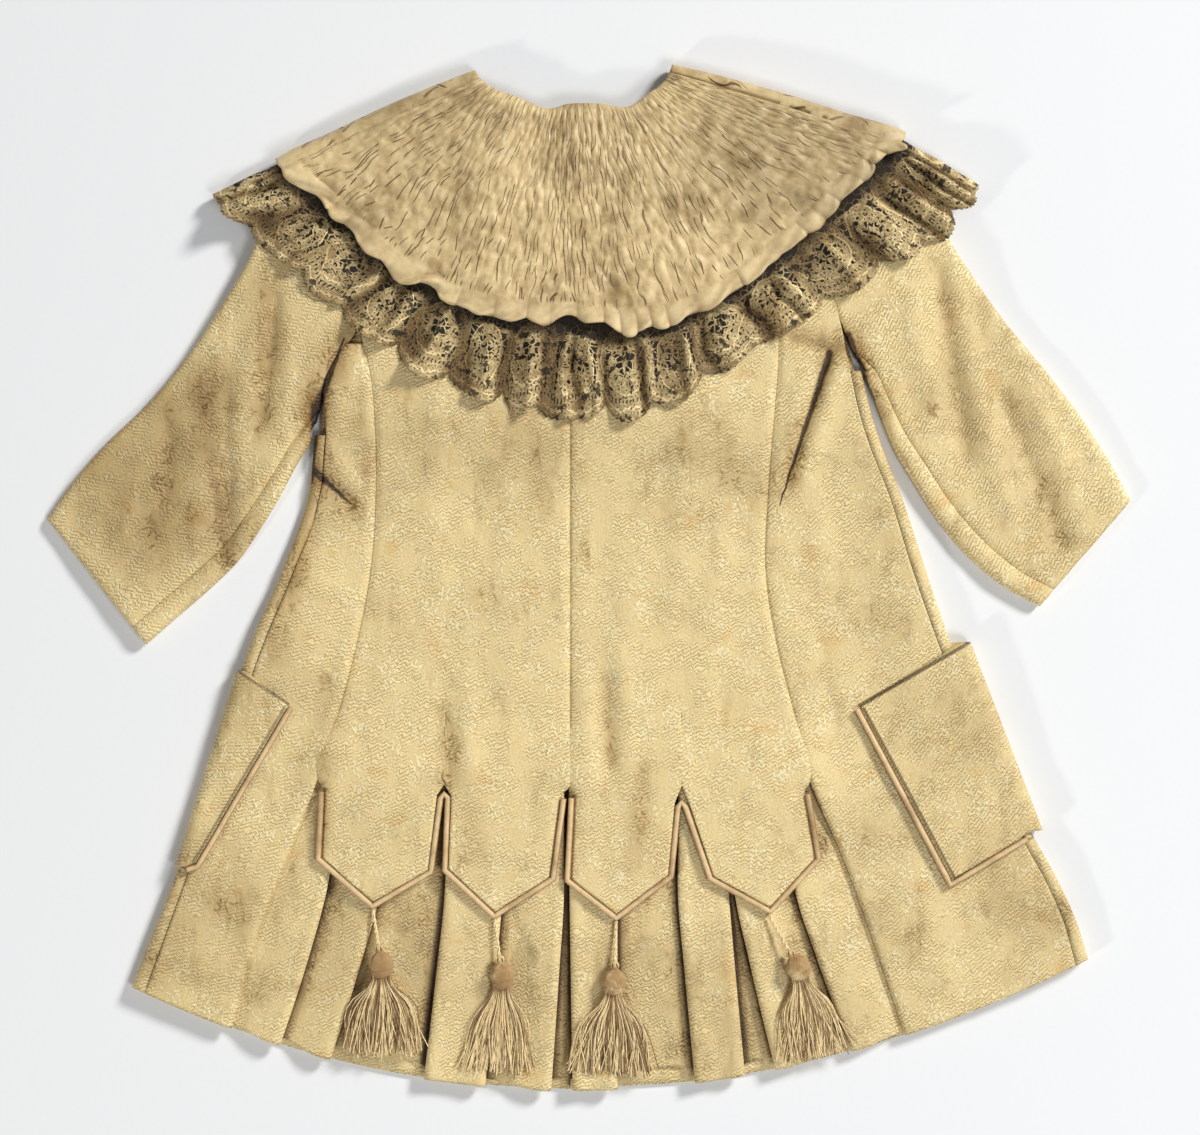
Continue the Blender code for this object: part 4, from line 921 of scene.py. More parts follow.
@dataclass(frozen=True)
class Brocade:
    """The figured silk: fine wavy ribs with small glossy sprays, faded and softly soiled."""

    name: str = "figured_silk"
    pale: Colour = (1.0, 0.8, 0.41)
    deep: Colour = (0.5, 0.36, 0.145)
    gloss: Colour = (1.0, 0.885, 0.54)
    # The sprays in worn patches and in painted shade, and the painted shadow round each stroke
    aged: Colour = (0.48, 0.39, 0.2)
    soil: Colour = (0.53, 0.47, 0.385)
    rust: Colour = (0.86, 0.66, 0.42)
    # Painted shade in the hollows, and painted shadow in the narrowest creases and beside the skirt's folds
    brown: Colour = (0.4, 0.275, 0.13)
    black: Colour = (0.1, 0.065, 0.03)
    rib: float = 2.05
    wavelength: float = 4.3

    def stroke(self, x: Shade, y: Shade, petal: Petal) -> Shade:
        """How much a point is in one woven stroke."""
        c, s = cos(radians(petal.slant)), sin(radians(petal.slant))
        long = (x * c + y * s - (petal.x * c + petal.y * s)) / petal.long
        wide = (y * c - x * s - (petal.y * c - petal.x * s)) / petal.wide
        return long * long + wide * wide

    def repeat(self, paint: Paint, u: Shade, v: Shade, size: Pair, petals: Sequence[Petal]) -> Shade:
        """A motif repeated over the cloth, each column half a repeat below the last.

        Args:
            paint: The material.
            u: The place along the ribs, in mm.
            v: The place across the ribs, in mm.
            size: The repeat's width and height, in mm.
            petals: The motif's strokes.

        Returns:
            How far a point is from the motif's strokes, squared: under one is in a stroke.
        """
        column = (u / size[0]).maths("FLOOR")
        down = v / size[1] + column * 0.5
        first, second = paint.split(paint.lot(column, down.maths("FLOOR")))
        x = ((u / size[0]).maths("FRACT") - 0.5) * size[0] + (second - 0.5) * size[0] * 0.3
        y = (down.maths("FRACT") - 0.5) * size[1] + (first - 0.5) * size[1] * 0.26
        lean = (first - 0.5) * 3.2
        c, s = lean.maths("COSINE"), lean.maths("SINE")
        x, y = x * c + y * s, y * c - x * s
        nearest = self.stroke(x, y, petals[0])
        for petal in petals[1:]:
            nearest = nearest.maths("MINIMUM", self.stroke(x, y, petal))
        return nearest / second.between(-0.35, 0.5)

    def build(self) -> Finish:
        """Makes the material."""
        paint = Paint(self.name, 0.5, Sheen_Weight=0.08, Sheen_Roughness=0.4)
        where, grain = paint.place(), paint.grain()
        x, y = paint.split(where)
        u, v = paint.split(grain, 1000.0)
        # Soil, painted shade and painted shadow, as the mesh keeps them for each point
        wear = paint.attribute("wear")
        soiled, dimmed = paint.split(wear)
        edge = paint.node("ShaderNodeSeparateXYZ", {}, wear, out=2)
        wander = paint.noise(grain, 130, 2) - 0.5
        drift = paint.noise(grain, 420, 2) - 0.5
        grit = paint.noise(grain, 800, 3, 0.7)
        clouds = paint.noise(where, 26, 5, 0.62)
        streaks = paint.noise(paint.join(x * 2.6, y * 0.8), 30, 4, 0.6)
        crest = ((u + wander * 8.0 + drift * 2.2) / self.wavelength).wave()
        ribs = ((v + crest * 1.15 + wander * 5.0 + drift * 1.2) / self.rib).wave() ** 0.7
        ribs = 0.55 + (ribs - 0.55) * paint.noise(grain, 75, 3).between(0.3, 0.58)
        sprays = self.repeat(paint, u, v, (19.0, 22.0), SPRAY)
        leaves = self.repeat(paint, u + 10.0, v + 12.0, (14.5, 16.5), LEAVES)
        florets = self.repeat(paint, u + 5.0, v + 7.0, (10.0, 12.0), FLORET)
        seen = paint.noise(grain, 34, 3).between(0.36, 0.6) * 0.75 + 0.25
        nearest = sprays.maths("MINIMUM", leaves).maths("MINIMUM", florets)
        figure = nearest.between(1.25, 0.7) * seen * (grit.between(0.36, 0.58) * 0.3 + 0.7)
        # Sprays turn dark in patches at random, a little with the soil, and as painted shade in the hollows
        turned = (clouds * 0.8 + streaks * 0.5 + soiled * 0.1 + dimmed * 0.8).between(0.73, 0.95)
        colour = paint.blend(ribs * 0.72 + grit * 0.62 + clouds * 0.22 - 0.2, self.deep, self.pale)
        # Painted shadow round each woven stroke
        colour = paint.darken(colour, (nearest.between(3.2, 1.4) * seen * 0.3, self.aged))
        colour = paint.blend(figure * (1 - turned) * 0.92, colour, self.gloss)
        dust = soiled * 0.8 + (clouds - 0.46) * 1.15 + streaks.between(0.52, 0.76) * 0.3
        rusty = paint.noise(where, 44, 4, 0.6).between(0.6, 0.76) * 0.45
        # Soil and rust, then painted shade in the hollows, then painted shadow in the narrowest creases and
        # beside the skirt's folds
        colour = paint.darken(
            colour,
            (figure * turned * 0.85, self.aged),
            (dust.between(-0.1, 1.2), self.soil),
            (rusty, self.rust),
            (dimmed * (0.25 + streaks * 1.4), self.brown),
            (self.lines(x, y, wander).maths("MAXIMUM", edge * 0.95), self.black),
        )
        paint.feed("Base Color", colour)
        paint.feed("Roughness", 0.6 - figure * 0.1 - ribs * 0.06)
        paint.relief(ribs * 0.7 + grit * 0.5 + drift * 0.5, 0.00045, 1.0)
        return paint.material

    def lines(self, x: Shade, y: Shade, wander: Shade) -> Shade:
        """How dark the painted shade is along the narrow lines of the deepest creases."""
        dark, places = None, ((x, y), (x + wander * 0.0018, y + wander * 0.0014))
        for crease in DARK_CREASES:
            tapered = crease.width > 0.002
            x, y = places[tapered]
            way = crease.x2 - crease.x1, crease.y2 - crease.y1
            square = way[0] * way[0] + way[1] * way[1]
            share = ((x - crease.x1) * way[0] + (y - crease.y1) * way[1]) / square
            share = share.maths("MAXIMUM", 0.0).maths("MINIMUM", 1.0)
            across, down = x - crease.x1 - share * way[0], y - crease.y1 - share * way[1]
            away = (across * across + down * down) ** 0.5 / (1 - share * 0.85 * tapered)
            line = away.between(crease.width, crease.width * 0.35) * crease.rise
            dark = line if dark is None else dark.maths("MAXIMUM", line)
        return dark


@dataclass(frozen=True)
class Satin:
    """Tan satin, with a fine grain and soft stains, and with painted shade on a piping's lower sides and in
    the hollows where it is gathered.
    """

    name: str = "satin"
    pale: Colour = (0.8, 0.58, 0.3)
    deep: Colour = (0.4, 0.26, 0.11)
    soil: Colour = (0.66, 0.6, 0.54)
    gathers: int = 0

    def build(self) -> Finish:
        """Makes the material."""
        paint = Paint(self.name, 0.42, Sheen_Weight=0.2, Sheen_Roughness=0.35)
        where, grain = paint.place(), paint.grain()
        u, v = paint.split(grain, 1000.0)
        clouds = paint.noise(where, 38, 4, 0.6)
        small = paint.noise(where, 330, 3, 0.6)
        colour = paint.blend(small.between(0.25, 0.62), self.deep, self.pale)
        colour = paint.blend(0.72, colour, self.pale)
        # Painted shade from the mesh: on a piping's lower sides and in the shaded hollows
        _, sides = paint.split(paint.attribute("wear"))
        colour = paint.darken(colour, (clouds.between(0.42, 0.75), self.soil), (sides, (0.34, 0.19, 0.08)))
        height = small * 0.2
        if self.gathers:
            colour, height = self.gathered(paint, colour, height)
        else:
            height = height + (u / 0.36 + v / 0.9).wave() * 0.06
        paint.feed("Base Color", colour)
        paint.feed("Roughness", 0.4 + small * 0.2)
        paint.relief(height, 0.0007, 0.9)
        return paint.material

    def gathered(self, paint: Paint, colour: Shade, height: Shade) -> tuple[Shade, Shade]:
        """Adds the gathered collar's stains, painted light and shade on its puckers, painted shade in its
        hollows and creases and painted light on the frill's crests, and leaves its frill smooth.
        """
        where = paint.place()
        u, v = paint.split(paint.grain())
        hollows = paint.attribute("hollow", 2)
        soiled, _ = paint.split(paint.attribute("wear"))
        # Painted light and shade of the cobbled puckers, by soft noise
        patches = paint.noise(where, 105, 4, 0.6)
        colour = paint.darken(colour, (patches.between(0.46, 0.74) * 0.5, (0.66, 0.58, 0.48)))
        colour = paint.blend(patches.between(0.46, 0.28) * 0.35, colour, (0.86, 0.69, 0.41))
        # Real soil, and painted shade in the gathers' hollows
        dark = (soiled * 0.85, (0.66, 0.65, 0.62)), (hollows * 0.46, (0.46, 0.35, 0.24))
        colour = paint.darken(colour, *dark)
        middle = (u - 0.46 * self.gathers).maths("ABSOLUTE").between(3.6, 0.8)
        long = self.creases(paint, 1.1, 0.0, middle)
        short = self.creases(paint, 2.3, 40.0, middle)
        smocked = v.between(9.25, 9.0)
        upper = u.between(-1.6, -0.4) * (self.gathers - u).between(-1.6, -0.4)
        crease = long.maths("MAXIMUM", short * 0.75) * smocked * upper
        # Painted shade in the short creases
        colour = paint.darken(colour, (crease * 0.95, (0.28, 0.17, 0.08)))
        # Painted light on the smooth frill, away from its hollows
        frill = v.between(9.05, 9.4)
        colour = paint.blend(frill * (1 - hollows) * 0.25, colour, (0.84, 0.66, 0.38))
        return colour, height - crease * 0.9

    def creases(self, paint: Paint, closer: float, offset: float, middle: Shade) -> Shade:
        """Short creases along the gathers, painted dark as shade, each in its own cell of a gather and a
        row.

        Args:
            paint: The material.
            closer: How many times closer they lie than the gathers.
            offset: Where the pattern starts, so that two differ.
            middle: Where they lie thick, at the centre back.

        Returns:
            How much a point is in a crease.
        """
        wander = paint.noise(paint.place(), 46, 1.4, 0.5) - 0.5
        u, v = paint.split(paint.grain())
        across = (u + wander * 1.1) * closer + offset
        column = across.maths("FLOOR")
        lot = paint.lot(column, offset, out=0)
        down = v * 0.95 + lot * 7.0 + wander * 2.0
        row = down.maths("FLOOR")
        first, second = paint.split(paint.lot(column, row, 3.0))
        leaning = (down.maths("FRACT") - 0.5) * (first - 0.5) * 1.3
        aside = (across.maths("FRACT") - 0.4 - first * 0.2 + leaning).maths("ABSOLUTE") / closer
        reach = (down.maths("FRACT") - 0.5).maths("ABSOLUTE") + (1 - second) * 0.22
        thin = aside.between(0.062, 0.018)
        return thin * reach.between(0.5, 0.26) * (second + middle * 0.32).between(0.56, 0.74)


COLLAR_SATIN = Satin("collar_satin", (0.76, 0.58, 0.295), (0.42, 0.3, 0.14), (0.6, 0.55, 0.48), GATHERS)


@dataclass(frozen=True)
class TapeLace:
    """Old tape lace: a woven tape in curves, fine bars and small medallions, partly open between them and
    elsewhere painted dark as the shadow behind it.
    """

    name: str = "lace"
    pale: Colour = (0.97, 0.765, 0.4)
    deep: Colour = (0.29, 0.2, 0.085)
    dark: Colour = (0.016, 0.01, 0.004)

    def build(self) -> Finish:
        """Makes the material, from the place along the edge in scallops and across it from 0 to 1."""
        paint = Paint(self.name, 0.85)
        where, grain = paint.place(), paint.grain()
        u, v = paint.split(grain)
        hollows = paint.attribute("hollow", 2)
        small = paint.noise(where, 420, 2, 0.6)
        slow = paint.noise(where, 70, 2) - 0.5
        swerve = paint.noise(where, 52, 3) - 0.5
        x = (u.maths("FRACT") - 0.5) * 32.0 + slow * 7.0 + swerve * 5.0
        y = v * 42.0 + (paint.noise(where, 85, 2) - 0.5) * 7.0
        odd = (u.maths("FLOOR") * 0.5).maths("FRACT") * 2
        centre = 18.0 + odd * 4.0
        rise = y - centre
        reach = (x * x * (0.7 + odd * 0.6) + rise * rise) ** 0.5
        angle = rise.maths("ARCTAN2", x) / (2 * pi)
        cover = self.band(reach, 11.2, 1.9)
        petals = self.band(reach - (angle * 6).wave() * 2.4, 4.9, 1.3)
        leaf = (x / 2.2).maths("ABSOLUTE") + (rise / 4.0).maths("ABSOLUTE")
        spokes = (angle * 17 + slow * 0.9).wave().between(0.62, 0.88) * self.band(reach, 8.0, 2.4)
        edge = y.between(30.2, 31.2)
        outer = (u * 9.0 + slow).wave().between(0.45, 0.75) * self.band(y, 28.0, 3.4)
        side = ((x.maths("ABSOLUTE") - 16.0).maths("ABSOLUTE") - y * 0.08).between(1.2, 0.4)
        root = self.band(y, 10.5, 0.9)
        for other in (petals, leaf.between(1.0, 0.75), spokes, edge, outer, side, root):
            cover = cover.maths("MAXIMUM", other)
        bars = self.net(paint, where, 270.0).between(0.15, 0.06)
        cover = cover.maths("MAXIMUM", bars * 0.75)
        pricked = self.net(paint, where, 480.0).between(0.22, 0.36) * small.between(0.46, 0.58)
        eyelets = (u * 15.0).wave().between(0.72, 0.92) * self.band(y, 34.0, 0.7)
        worn = paint.noise(where, 150, 3, 0.6).between(0.6, 0.68)
        solid = cover.between(0.3, 0.62) * (1 - pricked * 0.85) * (1 - worn * 0.9) * (1 - eyelets)
        gaps = (1 - cover.between(0.0, 0.25)) * small.between(0.44, 0.5) * y.between(17.0, 26.0)
        paint.feed("Alpha", 1 - gaps)
        cord = self.band(reach, 12.8, 0.4).maths("MAXIMUM", self.band(y, 38.4, 0.5))
        weave = (x / 0.8).wave() * 0.5 + (y / 0.8).wave() * 0.5
        shade = paint.noise(where, 45, 4, 0.6)
        lit = weave * 0.25 + small * 0.9 + cord * 0.5
        colour = paint.blend(lit.between(0.15, 1.1), self.deep, self.pale)
        # Soft shade at random, painted shade in the ruffles' hollows, and painted shadow under the collar's
        # edge
        colour = paint.darken(
            colour,
            (shade.between(0.42, 0.72), (0.5, 0.43, 0.34)),
            (hollows * 0.9, (0.26, 0.19, 0.11)),
            (y.between(14.0, 5.0) * 0.95, (0.13, 0.095, 0.055)),
        )
        # Between the tapes, where not cut open, the colour is painted dark as the shadow behind the lace
        colour = paint.blend(solid, self.dark, colour)
        paint.feed("Base Color", colour)
        paint.relief(solid * 0.7 + cord * 0.3 + weave * 0.1 + small * 0.2, 0.001, 1.0)
        return paint.material

    def net(self, paint: Paint, where: Shade, scale: float) -> Shade:
        """How far a place is from the bars of an uneven net, in cells."""
        settings = {"feature": "DISTANCE_TO_EDGE", "voronoi_dimensions": "2D"}
        return paint.node("ShaderNodeTexVoronoi", settings, where, scale, at=(0, 2))

    def band(self, place: Shade, middle: float, half: float) -> Shade:
        """A band of tape: how much a place is within half a width of its middle."""
        return (place - middle).maths("ABSOLUTE").between(half + 0.35, half - 0.1)


@dataclass(frozen=True)
class TasselSilk:
    """Silk floss of the tassels: pale gold strands, rusty where the heads are stained, with painted shade
    on the lower strands.
    """

    name: str = "tassel_silk"
    pale: Colour = (1.0, 0.8, 0.44)
    deep: Colour = (0.55, 0.39, 0.17)
    rust: Colour = (0.36, 0.185, 0.05)

    def build(self) -> Finish:
        """Makes the material."""
        paint = Paint(self.name, 0.45, Sheen_Weight=0.2)
        where = paint.place()
        x, y = paint.split(where)
        strand = paint.noise(paint.join(x * 4.0, y * 0.35), 700, 2, 0.6)
        patch = paint.noise(where, 60, 3, 0.6)
        total = None
        for tassel in TASSELS:
            across, down = (x - tassel.head_x) / 0.01, (y - tassel.head_y) / 0.011
            near = (across * across + down * down).between(1.4, 0.2)
            total = near if total is None else total.maths("MAXIMUM", near)
        # Painted shade on the strands that lie lowest
        _, under = paint.split(paint.attribute("wear"))
        colour = paint.blend(strand.between(0.3, 0.55), self.deep, self.pale)
        colour = paint.darken(colour, (under, (0.26, 0.165, 0.075)))
        colour = paint.blend(total * patch.between(0.22, 0.5) * 0.85, colour, self.rust)
        paint.feed("Base Color", colour)
        paint.relief(strand, 0.0002, 0.8)
        return paint.material


@dataclass(frozen=True)
class PaleFloor:
    """The plain pale sheet the coat lies on."""

    name: str = "pale_floor"
    tone: Colour = (0.86, 0.87, 0.88)

    def build(self) -> Finish:
        """Makes the material."""
        paint = Paint(self.name, 0.9)
        where = paint.place()
        fine = paint.noise(where, 300, 3)
        paint.feed("Base Color", paint.blend(fine, self.tone, tuple(c * 0.985 for c in self.tone)))
        paint.relief(fine, 0.00008, 0.3)
        return paint.material


@dataclass
class Finishes:
    """The coat's finishes, each made once."""

    silk: Finish = field(default_factory=Brocade().build)
    satin: Finish = field(default_factory=Satin().build)
    collar: Finish = field(default_factory=COLLAR_SATIN.build)
    lace: Finish = field(default_factory=TapeLace().build)
    silk_floss: Finish = field(default_factory=TasselSilk().build)
    floor: Finish = field(default_factory=PaleFloor().build)


def dress(piece: Piece, material: Finish, node: str) -> Piece:
    """Gives a piece its finish, lets it ride on the coat and take the place of its solid."""
    piece.data.materials.clear()
    piece.data.materials.append(material)
    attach(piece, "root")
    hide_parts(node)
    return piece


def dress_silk(
    piece: Piece, silk: Finish, node: str, angle: float, wall: float = CLOTH, wear: Read = no_extra_shade
) -> None:
    """Turns an open silk panel into a dressed piece of cloth.

    Args:
        piece: The panel.
        silk: Its finish.
        node: The solid whose place it takes.
        angle: The slant of its grain, in degrees.
        wall: The cloth's thickness.
        wear: The extra painted shade and painted shadow of a point.
    """
    give_grain(piece, slanted(angle))
    give_soil_and_shade(piece, wear)
    give_wall(piece, wall)
    dress(piece, silk, node)


def tabs_of(side: Side) -> tuple[Tab, Tab]:
    """The two tabs on a side of the centre seam."""
    return TABS[:2] if side is Side.LEFT else TABS[2:]


@dataclass
class BackHalf:
    """Half the back: two strips, one cloth down to the slit between its two tabs."""

    side: Side
    step: float = 0.0021
    columns: int = 6

    def line(self, name: str, row: float) -> float:
        """Where the strips' edges run: the outer seam, the slit's line or the centre seam."""
        if name == "outer":
            return SHAPE.seam_x(self.side, row, SEAM / 2)
        if name == "centre":
            return CENTRE_X - self.side.sign * SEAM / 2
        first, second = tabs_of(self.side)
        middle = (first.right_x + second.left_x) / 2
        return mix(middle * 0.94, middle, row / TAB_ROW)

    def point(self, names: tuple[str, str], tab: Tab, i: int, j: int) -> Vector:
        """A point of one strip's net, from the neck down to its tab's edge."""
        w = i / self.columns
        if j <= TAB_ROW:
            x = mix(self.line(names[0], j), self.line(names[1], j), w)
            y = SHAPE.body_y(j, x)
        else:
            top = Vector((mix(tab.left_x, tab.right_x, w), mix(tab.left_y, tab.right_y, w)))
            ends = (tab.low_left, tab.tip) if w < 0.5 else (tab.tip, tab.low_right)
            low = Vector(ends[0]).lerp(Vector(ends[1]), 2 * w if w < 0.5 else 2 * w - 1)
            x, y = top.lerp(low, TAB_STEPS[j - TAB_ROW - 1])
        return Vector((x, y, SHAPE.tab_z(x, y)))

    def build(self, finishes: Finishes) -> Piece:
        """Makes and dresses the half."""
        names = ("outer", "slit", "centre") if self.side is Side.LEFT else ("centre", "slit", "outer")
        strips = []
        rows = range(TAB_ROW + len(TAB_STEPS) + 1)
        for n, tab in enumerate(tabs_of(self.side)):
            pair = names[n], names[n + 1]
            points = [[self.point(pair, tab, i, j) for j in rows] for i in range(self.columns + 1)]
            net = Net(points, self.step, TAB_ROW)
            strips.append(panel(f"strip_{self.side}_{n}", net, Edges(first=n == 0, last=n == 1)))
        piece = merge(strips, SEWN)
        name_it(piece, f"back_{self.side}_silk")
        dress_silk(piece, finishes.silk, f"back_{self.side}", -2 * self.side.sign)
        return piece


@dataclass
class SideBody:
    """The side body, from the side-back seam to the side seam near the fold."""

    side: Side
    step: float = 0.0022
    columns: int = 4

    def point(self, i: int, row: float) -> Vector:
        """A point of the net."""
        underarm = UNDERARM[self.side]
        inner = SHAPE.seam_x(self.side, row, -SEAM / 2)
        outer = SHAPE.fold_at(self.side, row)[0] + self.side.sign * (SEAM_STRIP + SEAM)
        if row < underarm:
            end = SHAPE.armhole(self.side, 1 - row / underarm)
            outer = end.x + 2 * self.side.sign * SEAM
        x = mix(inner, outer, i / self.columns)
        y = SHAPE.body_y(row, x)
        if row < underarm:
            y = mix(y, end.y, i / self.columns)
        return Vector((x, y, SHAPE.tab_z(x, y, tabs=False)))

    def build(self, finishes: Finishes) -> Piece:
        """Makes and dresses the side."""
        first = 3.4 if self.side is Side.LEFT else 2.35
        rows = [first, *range(ceil(first), HEM_ROW + 1)]
        net = Net([[self.point(i, row) for row in rows] for i in range(self.columns + 1)], self.step)
        piece = panel(f"side_{self.side}_silk", net, Edges(first=True))
        dress_silk(piece, finishes.silk, f"side_{self.side}", -14 * self.side.sign)
        return piece


@dataclass
class Front:
    """A front under the coat, round its side fold and up to the side seam."""

    side: Side
    step: float = 0.0045
    angles: tuple[int, ...] = (-54, -18, 18, 54, 90)

    def point(self, i: int, row: int) -> Vector:
        """A point of the net: the level part, then the turn and the strip on top."""
        sign, flat = self.side.sign, 5
        fold, low, high = SHAPE.fold_at(self.side, row)
        start = CENTRE_X - sign * SEAM
        edge = SHAPE.body(self.side + "_x", row) + sign * SEAM if row < UNDERARM[self.side] else fold
        if i <= flat:
            lifted = edge + sign * FRONT_LIFTED
            inner = lifted + sign * LIFT_END
            x = (start, mix(start, inner, 0.36), mix(start, inner, 0.72), inner, lifted, edge)[i]
            y = SHAPE.body_y(row, x)
            return Vector((x, y, SHAPE.front_z(x, y) if i < flat else low))
        if i == flat + len(self.angles) + 1:
            x = fold + sign * SEAM_STRIP
            y = SHAPE.body_y(row, x)
            return Vector((x, y, SHAPE.back_z(x, y)))
        angle = radians(self.angles[i - flat - 1])
        x = fold - sign * (high - low) / 2 * cos(angle)
        return Vector((x, SHAPE.body_y(row, x), (high + low) / 2 + (high - low) / 2 * sin(angle)))

    def build(self, finishes: Finishes) -> Piece:
        """Makes and dresses the front: the part above the underarm and the part below it, as one."""
        underarm = UNDERARM[self.side]
        above = Net([[self.point(i, j) for j in range(underarm + 1)] for i in range(6)], self.step)
        rows = range(underarm, HEM_ROW + 1)
        below = Net([[self.point(i, j) for j in rows] for i in range(7 + len(self.angles))], self.step)
        node = f"front_{self.side}"
        parts = [panel(f"{node}_{n}", net, Edges(), upper_share) for n, net in enumerate((above, below))]
        piece = merge(parts, SEWN)
        name_it(piece, node + "_silk")
        dress_silk(piece, finishes.silk, node, -10 * self.side.sign)
        return piece


@dataclass
class Skirt:
    """The pleated skirt under the tabs, as one cloth with turned folds."""

    step: float = 0.002
    top_row: float = 9.85
    angles: tuple[int, ...] = (90, 30, -30, -90)

    def fold_x(self, fold: Fold, row: float) -> float:
        """A fold's place on a row."""
        share = (row - TAB_ROW) / (HEM_ROW - TAB_ROW)
        if share < 0.36:
            return mix(fold.top, fold.middle, share / 0.36)
        return mix(fold.middle, fold.hem, (share - 0.36) / 0.64)

    def turn(self, x: float, upper: float, lower: float, side: int) -> list[Pair]:
        """A round turn of the cloth from one level to another, reaching out to x."""
        radius, middle = (upper - lower) / 2, (upper + lower) / 2
        centre = x - side * (radius + PLEAT_WALL / 2)
        angles = [radians(a) for a in self.angles]
        return [(centre + side * radius * cos(a), middle + radius * sin(a)) for a in angles]

    def path(self, row: float) -> list[Pair]:
        """The cloth in section along a row: level stretches, crowns and turned-under folds."""
        start, end = self.fold_x(SKIRT_LEFT, row), self.fold_x(SKIRT_RIGHT, row)
        edge = MIDDLE - 0.0004
        crest = HIGH + 0.0016 * ease(TAB_ROW + 0.8, HEM_ROW - 1, row)
        path = [(start, edge), (start + 0.012, edge)]
        for one, before, lap, after in zip(FOLDS, (1, *LAPS), LAPS, (*LAPS[1:], -1)):
            x = self.fold_x(one, row)
            if lap > 0:
                if before < 0:
                    path.append((mix(path[-1][0], x - PLEAT_HOLD, 0.5), HIGH + CROWN))
                path.append((x - PLEAT_HOLD, mix(HIGH, crest, 0.7)))
                path += self.turn(x, crest, MIDDLE, 1) + self.turn(x - PLEAT_DEPTH, MIDDLE, LOW, -1)
                if after > 0:
                    path.append((x + 0.0022, LOW))
            else:
                if before < 0:
                    path.append((x - 0.0022, LOW))
                path += (self.turn(x, crest, MIDDLE, -1) + self.turn(x + PLEAT_DEPTH, MIDDLE, LOW, 1))[::-1]
                path.append((x + PLEAT_HOLD, mix(HIGH, crest, 0.7)))
        return [*path, (end - 0.012, edge), (end, edge)]

    def build(self, finishes: Finishes) -> Piece:
        """Makes and dresses the skirt."""
        rows = [mix(self.top_row, HEM_ROW, j / 5) for j in range(6)]
        columns: list[list[Vector]] = []
        for places in zip(*[self.path(row) for row in rows]):
            column = []
            for row, (x, z) in zip(rows, places):
                short = (HIGH - min(HIGH, z)) * 1.1 * ease(TAB_ROW, HEM_ROW, row)
                column.append(Vector((x, SHAPE.body_y(row, x) + short, z)))
            columns.append(column)
        net = Net(columns, self.step)
        edges = Edges(end=True, depth=0.0003, reach=0.0012)
        piece = panel("skirt_silk", net, edges, lambda p: 0.6 * ease(MIDDLE - 0.001, HIGH, p.z))
        span = len(net.grid[0])

        def under_fold(number: int, point: Vector) -> Pair:
            """The painted shade and painted shadow on the lower cloth close to the fold that lies over it.
            """
            place = net.row_places[number // span]
            row = mix(rows[place[0]], rows[place[0] + 1], place[1])
            low = ease(HIGH - 0.0004, LOW + 0.0006, point.z)
            nearest = 1.0
            for fold, lap in zip(FOLDS, LAPS):
                out = (point.x - self.fold_x(fold, row)) * lap
                nearest = min(nearest, abs(out) if out > -0.003 else 1.0)
            # Painted shade under the tabs and beside each fold, and a painted shadow line close to the
            # fold's edge
            sheltered = ease(-0.205, -0.165, point.y) * 0.16
            brown = 0.9 * exp(-nearest / 0.0026) + 0.14 * exp(-nearest / 0.01) + sheltered
            return low * min(1.0, brown), low * min(1.0, 1.8 * exp(-nearest / 0.0015))

        dress_silk(piece, finishes.silk, "skirt", 0, PLEAT_WALL, under_fold)
        return piece


